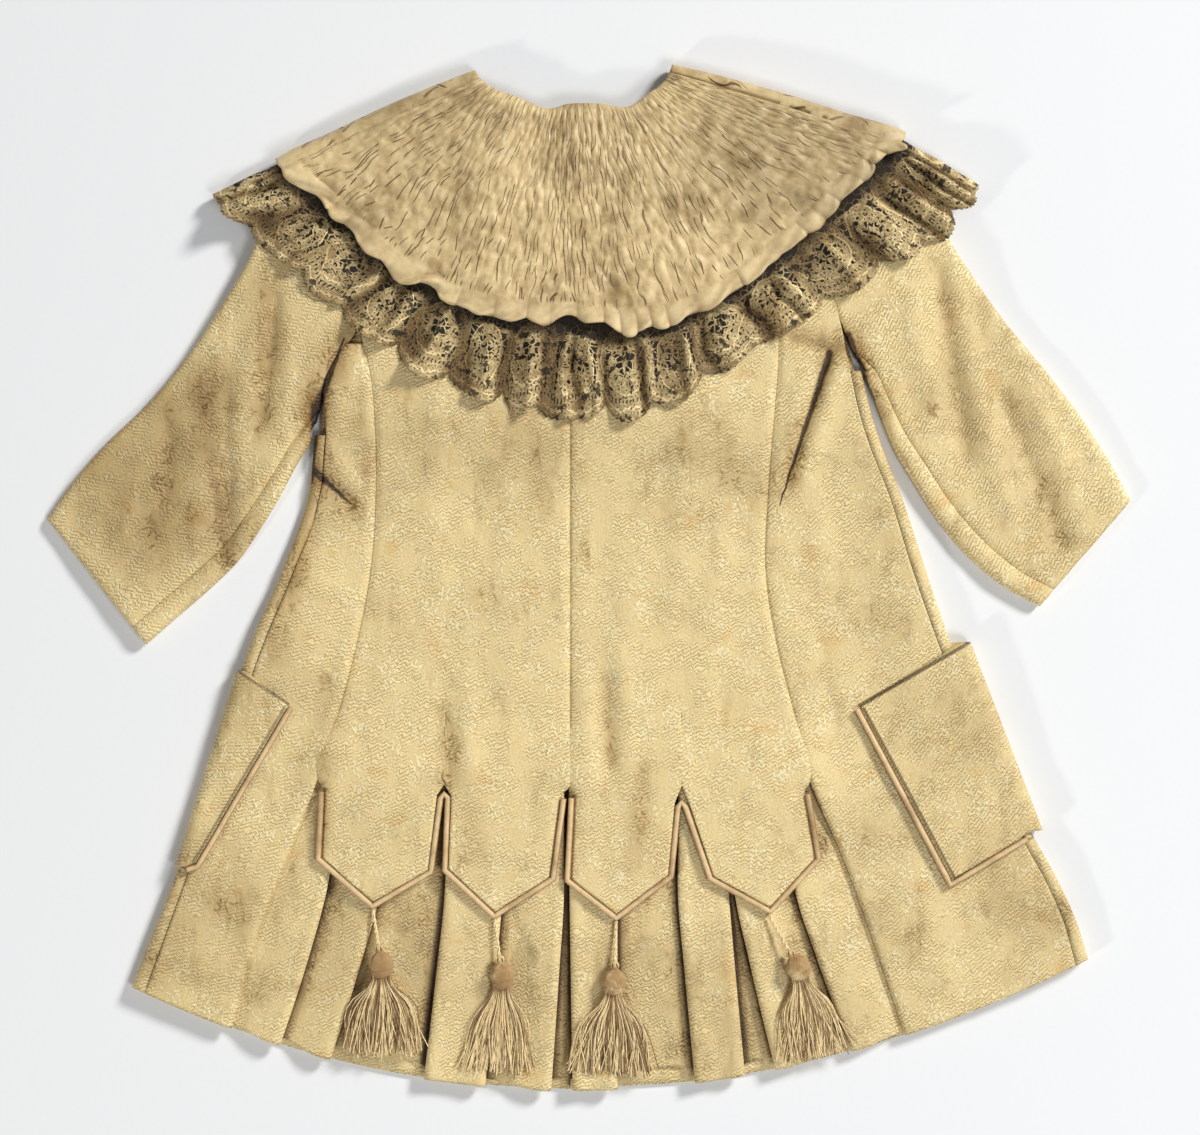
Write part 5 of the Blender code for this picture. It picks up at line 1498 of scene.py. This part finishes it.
@dataclass
class Sleeve:
    """A flat sleeve in its two cut pieces, each going round one of its edges."""

    side: Side
    step: float = 0.0021
    angles: tuple[int, ...] = (90, 45, 0, -45, -90)

    def plan(self, q: float, v: float) -> Vector:
        """The plan: q counts its sections down from the armhole, v runs across it."""
        rows = SLEEVES[self.side]
        if q < 1:
            return SHAPE.armhole(self.side, v)
        inner_x, inner_y, outer_x, outer_y = [along(values, q - 1) for values in zip(*rows)]
        return Vector((inner_x, inner_y)).lerp(Vector((outer_x, outer_y)), v)

    def level(self, q: float, v: float, top: bool) -> Vector:
        """A point on the upper or the lower layer."""
        plan = self.plan(q, v)
        return Vector((*plan, SHAPE.back_z(*plan) if top else SHAPE.front_z(*plan)))

    def turn(self, q: float, at_inner: bool, angle: float) -> Vector:
        """A point on the round of one of the flat sleeve's edges."""
        edge, across = self.plan(q, 0.0), self.plan(q, 1.0) - self.plan(q, 0.0)
        if not at_inner:
            edge, across = self.plan(q, 1.0), -across
        elif q < 1:
            way = (self.plan(1, 0.0) - edge).normalized()
            after = (self.plan(1, 1.0) - self.plan(1, 0.0)).normalized()
            edge, across = edge + way * UNDERARM_CLEAR, after + self.side.sign * Vector((way.y, -way.x))
        across.normalize()
        plan = edge + across * 0.004
        low, high = SHAPE.front_z(*plan), SHAPE.back_z(*plan)
        radius, turned = (high - low) / 2, radians(angle)
        plan = edge + across * (CLOTH / 2 + radius * (1 - cos(turned)))
        return Vector((*plan, (low + high) / 2 + radius * sin(turned)))

    def spread(self, q: int, ends: Pair, share: float, fitted: float | None) -> float:
        """A column's place across a layer: even, or at the armhole on the body's own rows."""
        width = (self.plan(q, 1.0) - self.plan(q, 0.0)).length
        if q == 0 and fitted is not None:
            return fitted
        return mix(ends[0] / width, 1 - ends[1] / width, share)

    def upper(self, i: int, j: int) -> Vector:
        """A point of the upper sleeve's net."""
        left = self.side is Side.LEFT
        seats = (None, 0.2, 0.4, 0.6, 0.8, 0.9, None) if left else (None, 0.25, 0.5, 0.62, 0.75, 0.88, None)
        if i <= 6:
            return self.level(j, self.spread(j, (SLEEVE_SEAM, 0.007), i / 6, seats[i]), True)
        if i <= 11:
            return self.turn(j, False, self.angles[i - 7])
        return self.level(j, self.spread(j, (0.0, SLEEVE_SEAM), 1.0, None), False)

    def under(self, i: int, j: int) -> Vector:
        """A point of the under sleeve's net."""
        seats = (None, 0.2, 0.4, 0.6, None) if self.side is Side.LEFT else (None, 0.25, 0.5, 0.75, None)
        if i == 0:
            return self.level(j, self.spread(j, (SLEEVE_SEAM - SEAM, 0.0), 0.0, None), True)
        if i <= 5:
            return self.turn(j, True, self.angles[i - 1])
        return self.level(j, self.spread(j, (0.009, SLEEVE_SEAM + SEAM), (i - 6) / 4, seats[i - 6]), False)

    def build(self, finishes: Finishes) -> list[Piece]:
        """Makes and dresses the two pieces."""
        made = []
        sections = len(SLEEVES[self.side])
        for name, read, columns in (("upper", self.upper, 12), ("under", self.under, 10)):
            net = Net([[read(i, j) for j in range(sections + 1)] for i in range(columns + 1)], self.step)
            node = f"sleeve_{self.side}_{name}"
            piece = panel(node + "_silk", net, Edges(first=True, start=True, end=True), upper_share)
            dress_silk(piece, finishes.silk, node, -36 * self.side.sign)
            made.append(piece)
        return made


class Stop(NamedTuple):
    """A place round the collar: which rays, where among them, and the angle of the fold."""

    rays: tuple[Ray, ...]
    place: float
    angle: float


def collar_stops(front: int, turned: int, back: int) -> list[Stop]:
    """Stops round the collar from one centre front to the other.

    Args:
        front: How many columns lie under each front.
        turned: How many go round each shoulder fold.
        back: How many lie over the back.

    Returns:
        The stops, where the angle is -90 under the coat and 90 on top of it.
    """
    stops = [Stop(LEFT_FRONT_RAYS, 3 * n / front, -90) for n in range(front + 1)]
    stops += [Stop(BACK_RAYS, 0, mix(-90, 90, n / turned)) for n in range(1, turned)]
    stops += [Stop(BACK_RAYS, 9 * n / back, 90) for n in range(back + 1)]
    stops += [Stop(BACK_RAYS, 9, mix(90, -90, n / turned)) for n in range(1, turned)]
    return stops + [Stop(RIGHT_FRONT_RAYS, 3 * n / front, -90) for n in range(front + 1)]


def ray_point(stop: Stop, name: str) -> Vector:
    """A stop's place on the neck, the collar's edge or the lace's edge."""
    names = name + "_x", name + "_y"
    return Vector([along([getattr(ray, one) for ray in stop.rays], stop.place) for one in names])


def wrapped(stop: Stop, plan: Vector, top_z: float, low_z: float) -> Vector:
    """A point on a layer that goes over the coat, round a shoulder fold and under it."""
    turned = radians(stop.angle)
    radius = (top_z - low_z) / 2
    away = Vector((0.0, 0.0))
    if abs(stop.angle) < 90:
        ray = BACK_RAYS[0] if stop.place == 0 else BACK_RAYS[-1]
        way = Vector((ray.edge_x - ray.neck_x, ray.edge_y - ray.neck_y)).normalized()
        away = Vector((-way.y, way.x)) if way.x > 0 else Vector((way.y, -way.x))
    plan = plan + away * radius * cos(turned)
    return Vector((plan.x, plan.y, low_z + radius * (1 + sin(turned))))


@dataclass
class Round:
    """A strip round the neck: under the fronts, round the shoulder folds and over the back."""

    back: int = 400
    rows: int = 84
    front: int = 40
    turned: int = 8

    def __post_init__(self) -> None:
        """Works out its stops, which of them lie over the back, and its lines."""
        self.stops = collar_stops(self.front, self.turned, self.back)
        self.first = self.front + self.turned
        self.last = self.first + self.back
        self.necks, self.edges, self.outers = [
            [ray_point(stop, name) for stop in self.stops] for name in ("neck", "edge", "lace")
        ]

    def grain(self, across: int, down: int) -> Read:
        """The place on the strip, in its own units: how many over the back, and down to the edge."""
        count = len(self.stops)
        return lambda n, p: ((n % count - self.first) / self.back * across, n // count / self.rows * down)

    def give_hollows(self, piece: Piece, hollows: list[float]) -> None:
        """Writes how deep in a hollow each point is, which its finish paints as shade."""
        piece.data.attributes.new("hollow", "FLOAT", "POINT").data.foreach_set("value", hollows)


@dataclass
class Collar(Round):
    """The smocked collar: radial gathers between shirring rows, with a plain frill at its edge."""

    frill: float = 0.095
    rise: float = 0.0023

    def tuck(self, s: float) -> float:
        """The frill's wave at a place round the back: nought in a tuck and one on a crest."""
        phase = s * 27 + 1.5 * ripple(s * 9, 9.2, 0.0)
        lot = ripple(floor(phase) * 3.1, 6.6, 0.0)
        crest = abs(sin(pi * phase)) ** (0.8 + 0.6 * lot)
        return mix(1.0, crest, 0.25 + 0.75 * ease(-0.45, 0.15, lot))

    def puff(self, s: float, v: float) -> Pair:
        """The gathers' height at a place, and how deep in a crease it is.

        Args:
            s: The place round the back, from nought to one.
            v: The place from the neck to the edge, from nought to one.

        Returns:
            The height from nought to one, and the hollow from nought to one.
        """
        level = v / (1 - self.frill) * SHIRRING
        row = min(SHIRRING, int(level))
        if level >= SHIRRING:
            out = (level - SHIRRING) / (self.frill / (1 - self.frill) * SHIRRING)
            slow = ripple(s * 38 + 2.2 * out, 9.2, 0.0)
            tuck = self.tuck(s)
            height = 0.2 + (0.2 + 0.8 * out) * tuck + 1.9 * slow * out
            hollow = (1 - tuck) ** 1.6 * 0.95 + (1 - ease(0.0, 0.16, out)) * 0.4 + 0.3 * max(0.0, -slow)
            return height, hollow
        within = level - row
        middle = 1 - ease(0.02, 0.1, abs(s - 0.46))
        bend = ripple(s * 16, v * 7, 2.0) * 2.4
        shift = ripple(s * 34, row * 3.7, 2.0) * 0.9 + 0.5 * (row % 2) + bend
        phase = s * GATHERS * (1.0 + 0.7 * middle * (s - 0.46)) + shift
        ridge = abs(sin(pi * phase)) ** 0.8
        lot = ripple(floor(phase) * 5.1, row * 7.7, 4.4)
        cobble = ripple(s * 70, v * 19, 11.0)
        pebble = ripple(s * 170, v * 40, 17.0)
        swell = sin(pi * within) ** 0.6
        height = (0.4 + 0.6 * swell) * (0.4 + 0.26 * ridge * (0.6 + 1.2 * lot))
        height += 0.5 * cobble + 0.15 * pebble
        crease = (1 - ridge) ** 3 * swell * ease(0.1, 0.45, lot + 0.35 * middle)
        sunk = ease(0.05, -0.45, cobble + 0.4 * pebble) * 0.42
        return height, min(1.0, crease + (1 - swell) * 0.1 + sunk + 0.25 * middle * (1 - ridge))

    def build(self, finishes: Finishes) -> Piece:
        """Makes and dresses the collar."""
        hollows: list[float] = []

        def place(i: int, j: int) -> Vector:
            """The point, with its puff on top of the coat."""
            v = j / self.rows
            s = (i - self.first) / self.back
            over = self.first <= i <= self.last
            frilled = ease(0.88, 1.0, v) * (3.4 * ripple(s * 23, 3.1, 0.0) + 0.5 * self.tuck(s) - 0.4)
            plan = self.necks[i].lerp(self.edges[i], v + 0.024 * frilled * over)
            inner = SHAPE.back_z(*plan) + CLOTH / 2 + LAYER + 0.003 * ease(0.7, 0.95, v)
            inner += SHAPE.creases(*plan) * over
            inner += COLLAR_LOFT * sin(pi * v) ** 0.8 if v < 1 else 0.0
            point = wrapped(self.stops[i], plan, inner + SATIN * 0.6, SATIN / 2)
            hollow = near = 0.0
            if over:
                near = ease(0, 6, min(i - self.first, self.last - i))
                height, hollow = self.puff(s, v)
                broad = ripple(plan.x * 45, plan.y * 45, 5.0)
                point.z += near * (self.rise * (height + 0.6 * broad) * ease(0.0, 0.04, v) + 0.0003)
                point.x += ripple(plan.x * 140, plan.y * 140, 8.0) * 0.0005 * near
            hollows.append(hollow * near)
            return point

        piece = new_grid("collar_satin", len(self.stops) - 1, self.rows, place)
        self.give_hollows(piece, hollows)
        give_grain(piece, self.grain(GATHERS, SHIRRING))
        give_soil_and_shade(piece)
        give_wall(piece, SATIN * 0.75)
        dress(piece, finishes.collar, "collar")
        return piece


@dataclass
class Lace(Round):
    """The gathered lace under the collar's edge, with its scalloped edge."""

    back: int = SCALLOPS * 24
    rows: int = 30

    def build(self, finishes: Finishes) -> Piece:
        """Makes and dresses the lace."""
        hollows: list[float] = []

        def place(i: int, j: int) -> Vector:
            """The point, on its scallop's wave."""
            v = j / self.rows
            root = self.edges[i] + (self.necks[i] - self.edges[i]).normalized() * 0.006
            over = self.first <= i <= self.last
            scallop, wave = 1.0, 0.0
            if over:
                phase = (i - self.first) / self.back * SCALLOPS
                uneven = ripple(phase * 0.8, 4.0, 0.0)
                scallop = 0.84 + 0.19 * abs(sin(pi * (phase + 0.5 * uneven))) ** 0.6
                scallop += 0.03 * abs(sin(pi * phase * 9)) + 0.1 * uneven
                wave = LACE_WAVE * (1 - cos(2 * pi * phase)) * ease(0.1, 0.6, v)
                fine = ripple(phase * 1.3, v * 1.5, 6.0)
                broad = ripple(phase * 0.55, 1.7, 3.0)
                turn = sin(2 * pi * (phase * 1.35 + 1.6 * broad) + 2.5 * fine)
                turn += 0.45 * sin(phase * 17.0 + 6 * fine + 9 * broad)
                wave += 0.0026 * ease(0.05, 0.5, v) * (1.6 * fine + turn)
            plan = root.lerp(self.outers[i], v * mix(1.0, scallop, v))
            top = SHAPE.back_z(*plan) + CLOTH / 2 + LAYER + LACE / 2 + max(0.0, wave)
            top += SHAPE.creases(*plan) * over
            low = LACE / 2 + (SATIN + LAYER) * (1 - ease(0.26, 0.5, v))
            # Painted shade in the low parts of the lace's waves
            hollows.append(ease(0.003, -0.0022, wave) * over)
            return wrapped(self.stops[i], plan, top, low)

        piece = new_grid("lace_edging", len(self.stops) - 1, self.rows, place)
        self.give_hollows(piece, hollows)
        give_grain(piece, self.grain(SCALLOPS, 1))
        give_wall(piece, LACE * 0.6)
        dress(piece, finishes.lace, "lace")
        return piece


def pushed_out(points: Sequence[Vector], distance: float) -> list[Vector]:
    """An open outline moved out to its right, with each corner kept at the same distance."""
    moved = []
    for n, here in enumerate(points):
        ways = []
        if n > 0:
            ways.append((here - points[n - 1]).normalized())
        if n < len(points) - 1:
            ways.append((points[n + 1] - here).normalized())
        normals = [Vector((w.y, -w.x)) for w in ways]
        normal = sum(normals, Vector((0.0, 0.0))).normalized()
        moved.append(here + normal * distance / max(0.5, normal.dot(normals[0])))
    return moved


def new_tube(name: str, lines: Sequence[Sequence[Vector]], radius: float, smooth: int, sides: int) -> Piece:
    """Round threads or cords along lines, as one mesh.

    Args:
        name: The piece's name.
        lines: The routes.
        radius: The thread's radius.
        smooth: How finely each span is rounded; nought keeps it straight.
        sides: How round its section is.

    Returns:
        The new piece.
    """
    deselect()
    bpy.ops.curve.primitive_nurbs_path_add()
    piece = bpy.context.active_object
    name_it(piece, name)
    curve = piece.data
    curve.splines.clear()
    curve.dimensions = "3D"
    curve.bevel_depth = radius
    curve.bevel_resolution = sides
    curve.use_fill_caps = True
    for line in lines:
        spline = curve.splines.new("BEZIER" if smooth else "POLY")
        if smooth:
            spline.bezier_points.add(len(line) - 1)
            spline.resolution_u = smooth
            for point, place in zip(spline.bezier_points, line):
                point.co = place
                point.handle_left_type = point.handle_right_type = "AUTO"
        else:
            spline.points.add(len(line) - 1)
            for point, place in zip(spline.points, line):
                point.co = (*place, 1.0)
    choose(piece)
    bpy.ops.object.convert(target="MESH")
    piece = bpy.context.view_layer.objects.active
    name_it(piece, name)
    settle(piece)
    bpy.ops.object.shade_smooth()
    return piece


def new_piping(node: str, line: list[Vector], height: Callable[[Vector], float], satin: Finish) -> Piece:
    """A satin piping, dressed, with painted shade on its lower sides and a clean top.

    Args:
        node: The solid whose place it takes.
        line: Its route in plan.
        height: How high its middle lies at a place.
        satin: Its finish.

    Returns:
        The new piece.
    """
    points = [Vector((p.x, p.y, height(p))) for p in line]
    piece = new_tube(node + "_satin", [points], PIPING_RADIUS, 0, 4)
    give_grain(piece, slanted(45))
    # Painted shade on the tube's lower sides, by how far below its middle a point lies
    give_soil_and_shade(piece, lambda n, p: (0.85 * ease(0.8, 0.3, (p.z - height(p)) / PIPING_RADIUS), 0.0))
    return dress(piece, satin, node)


@dataclass
class TabPiping:
    """The satin piping round two tabs in one length, arching over the slit between them."""

    side: Side

    def outline(self, tab: Tab, out: float) -> list[Vector]:
        """A tab's edge in plan, from one slit round its tip to the next, moved out."""
        points = [Vector((tab.left_x, tab.left_y)), Vector(tab.low_left), Vector(tab.tip)]
        points += [Vector(tab.low_right), Vector((tab.right_x, tab.right_y))]
        return pushed_out(points, out)

    def height(self, point: Vector) -> float:
        """How high the middle of the piping lies."""
        return TAB_HEIGHT + 0.0004 + SHAPE.creases(point.x, point.y)

    def build(self, finishes: Finishes) -> Piece:
        """Makes and dresses the piping."""
        tabs = tabs_of(self.side)
        route: list[Vector] = []
        for n, tab in enumerate(tabs):
            outline = self.outline(tab, PIPING_RADIUS + SEAM)
            outline[0].y -= SLIT_START
            outline[-1].y -= SLIT_START
            for a, b in zip(outline, outline[1:]):
                count = max(2, round((b - a).length / 0.0016))
                route += [a.lerp(b, k / count) for k in range(count)]
            route.append(outline[-1])
            if n == 0:
                route.append(Vector(((tabs[1].left_x + tab.right_x) / 2, tab.right_y + SLIT_ARCH)))
        return new_piping(f"piping_{self.side}", route, self.height, finishes.satin)


@dataclass
class Pocket:
    """A patch pocket on the side, round the fold and on under the front, with its piping."""

    side: Side
    step: float = 0.0021
    angles: tuple[int, ...] = (54, 18, -18, -54, -90)

    def height(self, x: float, y: float) -> float:
        """How high the side's cloth stands."""
        return SHAPE.tab_z(x, y, tabs=False) + CLOTH / 2

    def piping_height(self, point: Vector) -> float:
        """How high the middle of the piping lies."""
        x, y = point.x, point.y
        return self.height(x, y) + POCKET_GAP + PIPING_RADIUS + SHAPE.creases(x, y)

    def corners(self, q: float) -> tuple[Vector, Vector, Vector]:
        """The sewn side, the start of the turn and the outline, q of the way down."""
        p = POCKETS[self.side]
        sewn = Vector((mix(p.top_x, p.low_x, q), mix(p.top_y, p.low_y, q)))
        edge = Vector((mix(p.edge_top_x, p.edge_low_x, q), mix(p.edge_top_y, p.edge_low_y, q)))
        return sewn, edge + Vector((self.side.sign * POCKET_TURN, 0.0)), edge

    def point(self, i: int, j: int) -> Vector:
        """A point of the net."""
        sign, top_columns, turned = self.side.sign, 4, len(self.angles)
        out = POCKET_GAP + POCKET_WALL / 2
        sewn, turn_start, edge = self.corners(j / 7)
        body_edge = SHAPE.side_edge_x(self.side, edge.y)
        high, low = self.height(body_edge + sign * 0.008, edge.y) + out, POCKET_WALL / 2
        if i < top_columns:
            x, y = sewn.lerp(turn_start, i / top_columns)
            return Vector((x, y, self.height(x, y) + out))
        if i <= top_columns + turned:
            angle = radians(90 if i == top_columns else self.angles[i - top_columns - 1])
            reach = (POCKET_TURN - POCKET_WALL / 2) * cos(angle)
            rise = (high - low) / 2 * sin(angle)
            return Vector((turn_start.x - sign * reach, edge.y, (low + high) / 2 + rise))
        share = (i - top_columns - turned) / 2
        x = mix(turn_start.x, body_edge + sign * POCKET_HIDDEN, share)
        return Vector((x, edge.y - 0.008 * share, low))

    def build(self, finishes: Finishes) -> list[Piece]:
        """Makes and dresses the pocket and its piping."""
        columns = 4 + len(self.angles) + 2
        net = Net([[self.point(i, j) for j in range(8)] for i in range(columns + 1)], self.step)
        node = f"pocket_{self.side}"
        edges = Edges(start=True, depth=0.0004, reach=0.0012)
        piece = panel(node + "_silk", net, edges, lambda p: ease(0.003, 0.0055, p.z))
        dress_silk(piece, finishes.silk, node, -24 * self.side.sign, POCKET_WALL)
        down = [self.corners(q / 40)[0] for q in range(41)]
        sewn, turn_start, _ = self.corners(1.0)
        shares = (0.15, 0.3, 0.45, 0.6, 0.75, 0.9) if self.side is Side.RIGHT else (0.3, 0.6, 0.85)
        along_edge = [sewn.lerp(turn_start, share) for share in shares]
        line = pushed_out(down + along_edge, -self.side.sign * (PIPING_RADIUS + SEAM))
        node = f"piping_pocket_{self.side}"
        return [piece, new_piping(node, line, self.piping_height, finishes.satin)]


@dataclass
class Tassel:
    """A silk tassel: its looped thread, knot, bound head and fanned strands."""

    number: int
    strands: int = 190
    threads: int = 64
    height: float = 0.0124
    lock_height: float = 0.0093
    head_radius: float = 0.0062
    head_length: float = 0.0068
    knot_radius: float = 0.0026

    def build(self, finishes: Finishes) -> Piece:
        """Makes and dresses the tassel."""
        place = TASSELS[self.number - 1]
        head = Vector((place.head_x, place.head_y, self.height))
        tip = Vector((place.tip_x, place.tip_y, TAB_HEIGHT + 0.0004))
        way = Vector((head.x - tip.x, head.y - tip.y, 0.0)).normalized()
        knot = head - way * (self.head_length + self.knot_radius * 0.7)
        fringe, bound = self.fringe(head, place), self.bound_head(head, way)
        piece = merge([fringe, bound, self.knot(knot), self.loops(tip, knot)])
        name_it(piece, f"tassel_{self.number}_floss")
        settle(piece)
        give_grain(piece, slanted(0))
        return dress(piece, finishes.silk_floss, f"tassel_{self.number}")

    def fringe(self, head: Vector, place: TasselPlace) -> Piece:
        """The strands, fanned from the head to their cut ends."""
        end = Vector((place.end_x, place.end_y, 0.0))
        way = (end - Vector((head.x, head.y, 0.0))).normalized()
        across = Vector((-way.y, way.x, 0.0))
        lines, under = [], []
        for n in range(self.strands):
            key = Vector((n * 0.731, self.number * 9.1, 0.0))
            share = -1 + 2 * (n + 0.5) / self.strands + 0.1 * noise.noise(key * 3)
            depth = noise.noise(key * 1.7 + Vector((0.0, 0.0, 5.0)))
            root = head + way * self.head_length * 0.5 + across * share * self.head_radius * 0.8
            root.z = self.height + 0.003 * depth
            neck = head + way * self.head_length * 1.15 + across * share * self.head_radius * 0.75
            neck.z = self.height - 0.0008 + 0.0025 * depth
            bow = 0.38 + 0.22 * noise.noise(key * 5)
            middle = head.lerp(end, 0.5) + across * share * place.spread * bow
            middle.z = self.lock_height + 0.0014 + 0.003 * depth
            uneven = 0.005 * noise.noise(key * 7) + 0.0016 * cos(share * 9.0)
            tip = end + across * (share * place.spread * 0.5) + way * uneven
            tip += across * 0.013 * noise.noise(key * 11)
            tip.z = self.lock_height + 0.0002 + 0.0016 * depth
            lines.append([root, neck, middle, tip])
            # How much painted shade this strand gets, the lower the darker
            under.append(ease(0.02, -0.28, depth) * 0.95)
        piece = new_tube(f"fringe_{self.number}", lines, 0.00029, 4, 0)
        each = len(piece.data.vertices) // self.strands
        give_soil_and_shade(piece, lambda n, p: (under[n // each], 0.0))
        return piece

    def bound_head(self, head: Vector, way: Vector) -> Piece:
        """The head, pulled in at its neck, with the thread wound round it."""
        across = Vector((-way.y, way.x, 0.0))

        def at(t: float, turned: float, swell: float, flat: float) -> Vector:
            """A point t of the way along the head, turned round it, on a flattened section."""
            side = across * cos(turned) * swell + UP * sin(turned) * swell * flat
            return head + way * t * self.head_length + side

        lines = [[] for _ in range(self.threads)]
        for t in [-1 + 2 * k / 8 for k in range(9)]:
            swell = self.head_radius * sqrt(max(0.06, 1 - t * t)) * (1 - 0.18 * max(0.0, t))
            for n, line in enumerate(lines):
                line.append(at(t, 2 * pi * n / self.threads, swell, 0.68))
        for t in [0.52 + 0.09 * turn for turn in range(5)]:
            swell = self.head_radius * (sqrt(1 - t * t) + 0.06)
            lines.append([at(t, 2 * pi * k / 24, swell, 0.7) for k in range(25)])
        return new_tube(f"head_{self.number}", lines, 0.00042, 0, 0)

    def knot(self, middle: Vector) -> Piece:
        """The knot above the head, as a thread wound over itself."""
        line = []
        for k in range(97):
            t = k / 96
            turned, lean = 2 * pi * 7 * t, pi * t * 3
            c, s = cos(turned), sin(turned)
            out = Vector((c * cos(lean), s, c * sin(lean)))
            line.append(middle + out * self.knot_radius * 0.8)
        return new_tube(f"knot_{self.number}", [line], 0.00055, 0, 1)

    def loops(self, tip: Vector, knot: Vector) -> Piece:
        """The two twisted threads from the tab's tip to the knot."""
        way = (knot - tip).normalized()
        across = Vector((-way.y, way.x, 0.0)).normalized()
        lines = []
        for strand in range(2):
            line = []
            for k in range(33):
                t = k / 32
                turned = 2 * pi * (3.5 * t + strand / 2)
                out = across * cos(turned) + UP * sin(turned)
                line.append(tip.lerp(knot, t) + out * 0.0005)
            lines.append(line)
        return new_tube(f"loops_{self.number}", lines, 0.0005, 0, 1)


@dataclass
class Setting:
    """The camera straight overhead, the pale floor and the soft light."""

    width_in_view: float = 0.648
    height: float = 1.8
    middle: Pair = (0.0054, 0.0038)

    def add(self, data: bpy.types.ID, place: Sequence[float]) -> Piece:
        """Adds a camera or a lamp at its place."""
        made = bpy.data.objects.new(data.name, data)
        made.location = place
        bpy.context.scene.collection.objects.link(made)
        return made

    def camera(self) -> None:
        """Places the camera over the middle of the photograph's view."""
        data = bpy.data.cameras.new("overhead_camera")
        data.lens = data.sensor_width * self.height / self.width_in_view
        data.clip_start, data.clip_end = 0.05, 20.0
        bpy.context.scene.camera = self.add(data, (*self.middle, self.height))

    def light(self, name: str, place: Sequence[float], size: float, power: float, colour: Colour) -> None:
        """Adds a soft round light that looks at the coat."""
        data = bpy.data.lights.new(name, "AREA")
        data.shape = "DISK"
        data.size, data.energy, data.color = size, power, colour
        self.add(data, place).rotation_euler = (-Vector(place)).to_track_quat("-Z", "Y").to_euler()

    def build(self, finishes: Finishes) -> None:
        """Makes the floor, the lights and the camera."""
        deselect()
        place = (0, 0, -0.0002)
        bpy.ops.mesh.primitive_grid_add(x_subdivisions=8, y_subdivisions=8, size=6.0, location=place)
        floor = bpy.context.active_object
        name_it(floor, "pale_floor")
        settle(floor)
        floor.data.materials.append(finishes.floor)
        self.light("window_light", (3.2, 2.65, 2.7), 1.1, 226.0, (1.0, 0.99, 0.97))
        self.light("low_light", (-1.9, -1.55, 1.05), 0.2, 19.0, (1.0, 0.96, 0.9))
        self.light("sky_light", (1.1, -1.1, 2.2), 1.0, 23.0, (0.96, 0.98, 1.0))
        world = bpy.data.worlds.new("room")
        world.use_nodes = True
        colour, strength = world.node_tree.nodes["Background"].inputs[:2]
        colour.default_value, strength.default_value = (0.95, 0.97, 1.0, 1.0), 0.19
        bpy.context.scene.world = world
        bpy.context.scene.view_settings.view_transform = "Standard"
        self.camera()


def main() -> None:
    """Makes the coat's pieces in order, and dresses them."""
    logging.basicConfig(level=logging.INFO, format="%(message)s")
    finishes = Finishes()
    Setting().build(finishes)
    LOG.info("setting ready")
    paired = (Front, BackHalf, SideBody, Sleeve, TabPiping, Pocket)
    makers = [kind(side) for side in Side for kind in paired]
    makers += [Skirt(), Collar(), Lace(), *[Tassel(n + 1) for n in range(len(TASSELS))]]
    for maker in makers:
        made = maker.build(finishes)
        for piece in made if isinstance(made, list) else [made]:
            LOG.info("%s: %d faces", piece.name, len(piece.data.polygons))


if __name__ == "__main__":
    main()
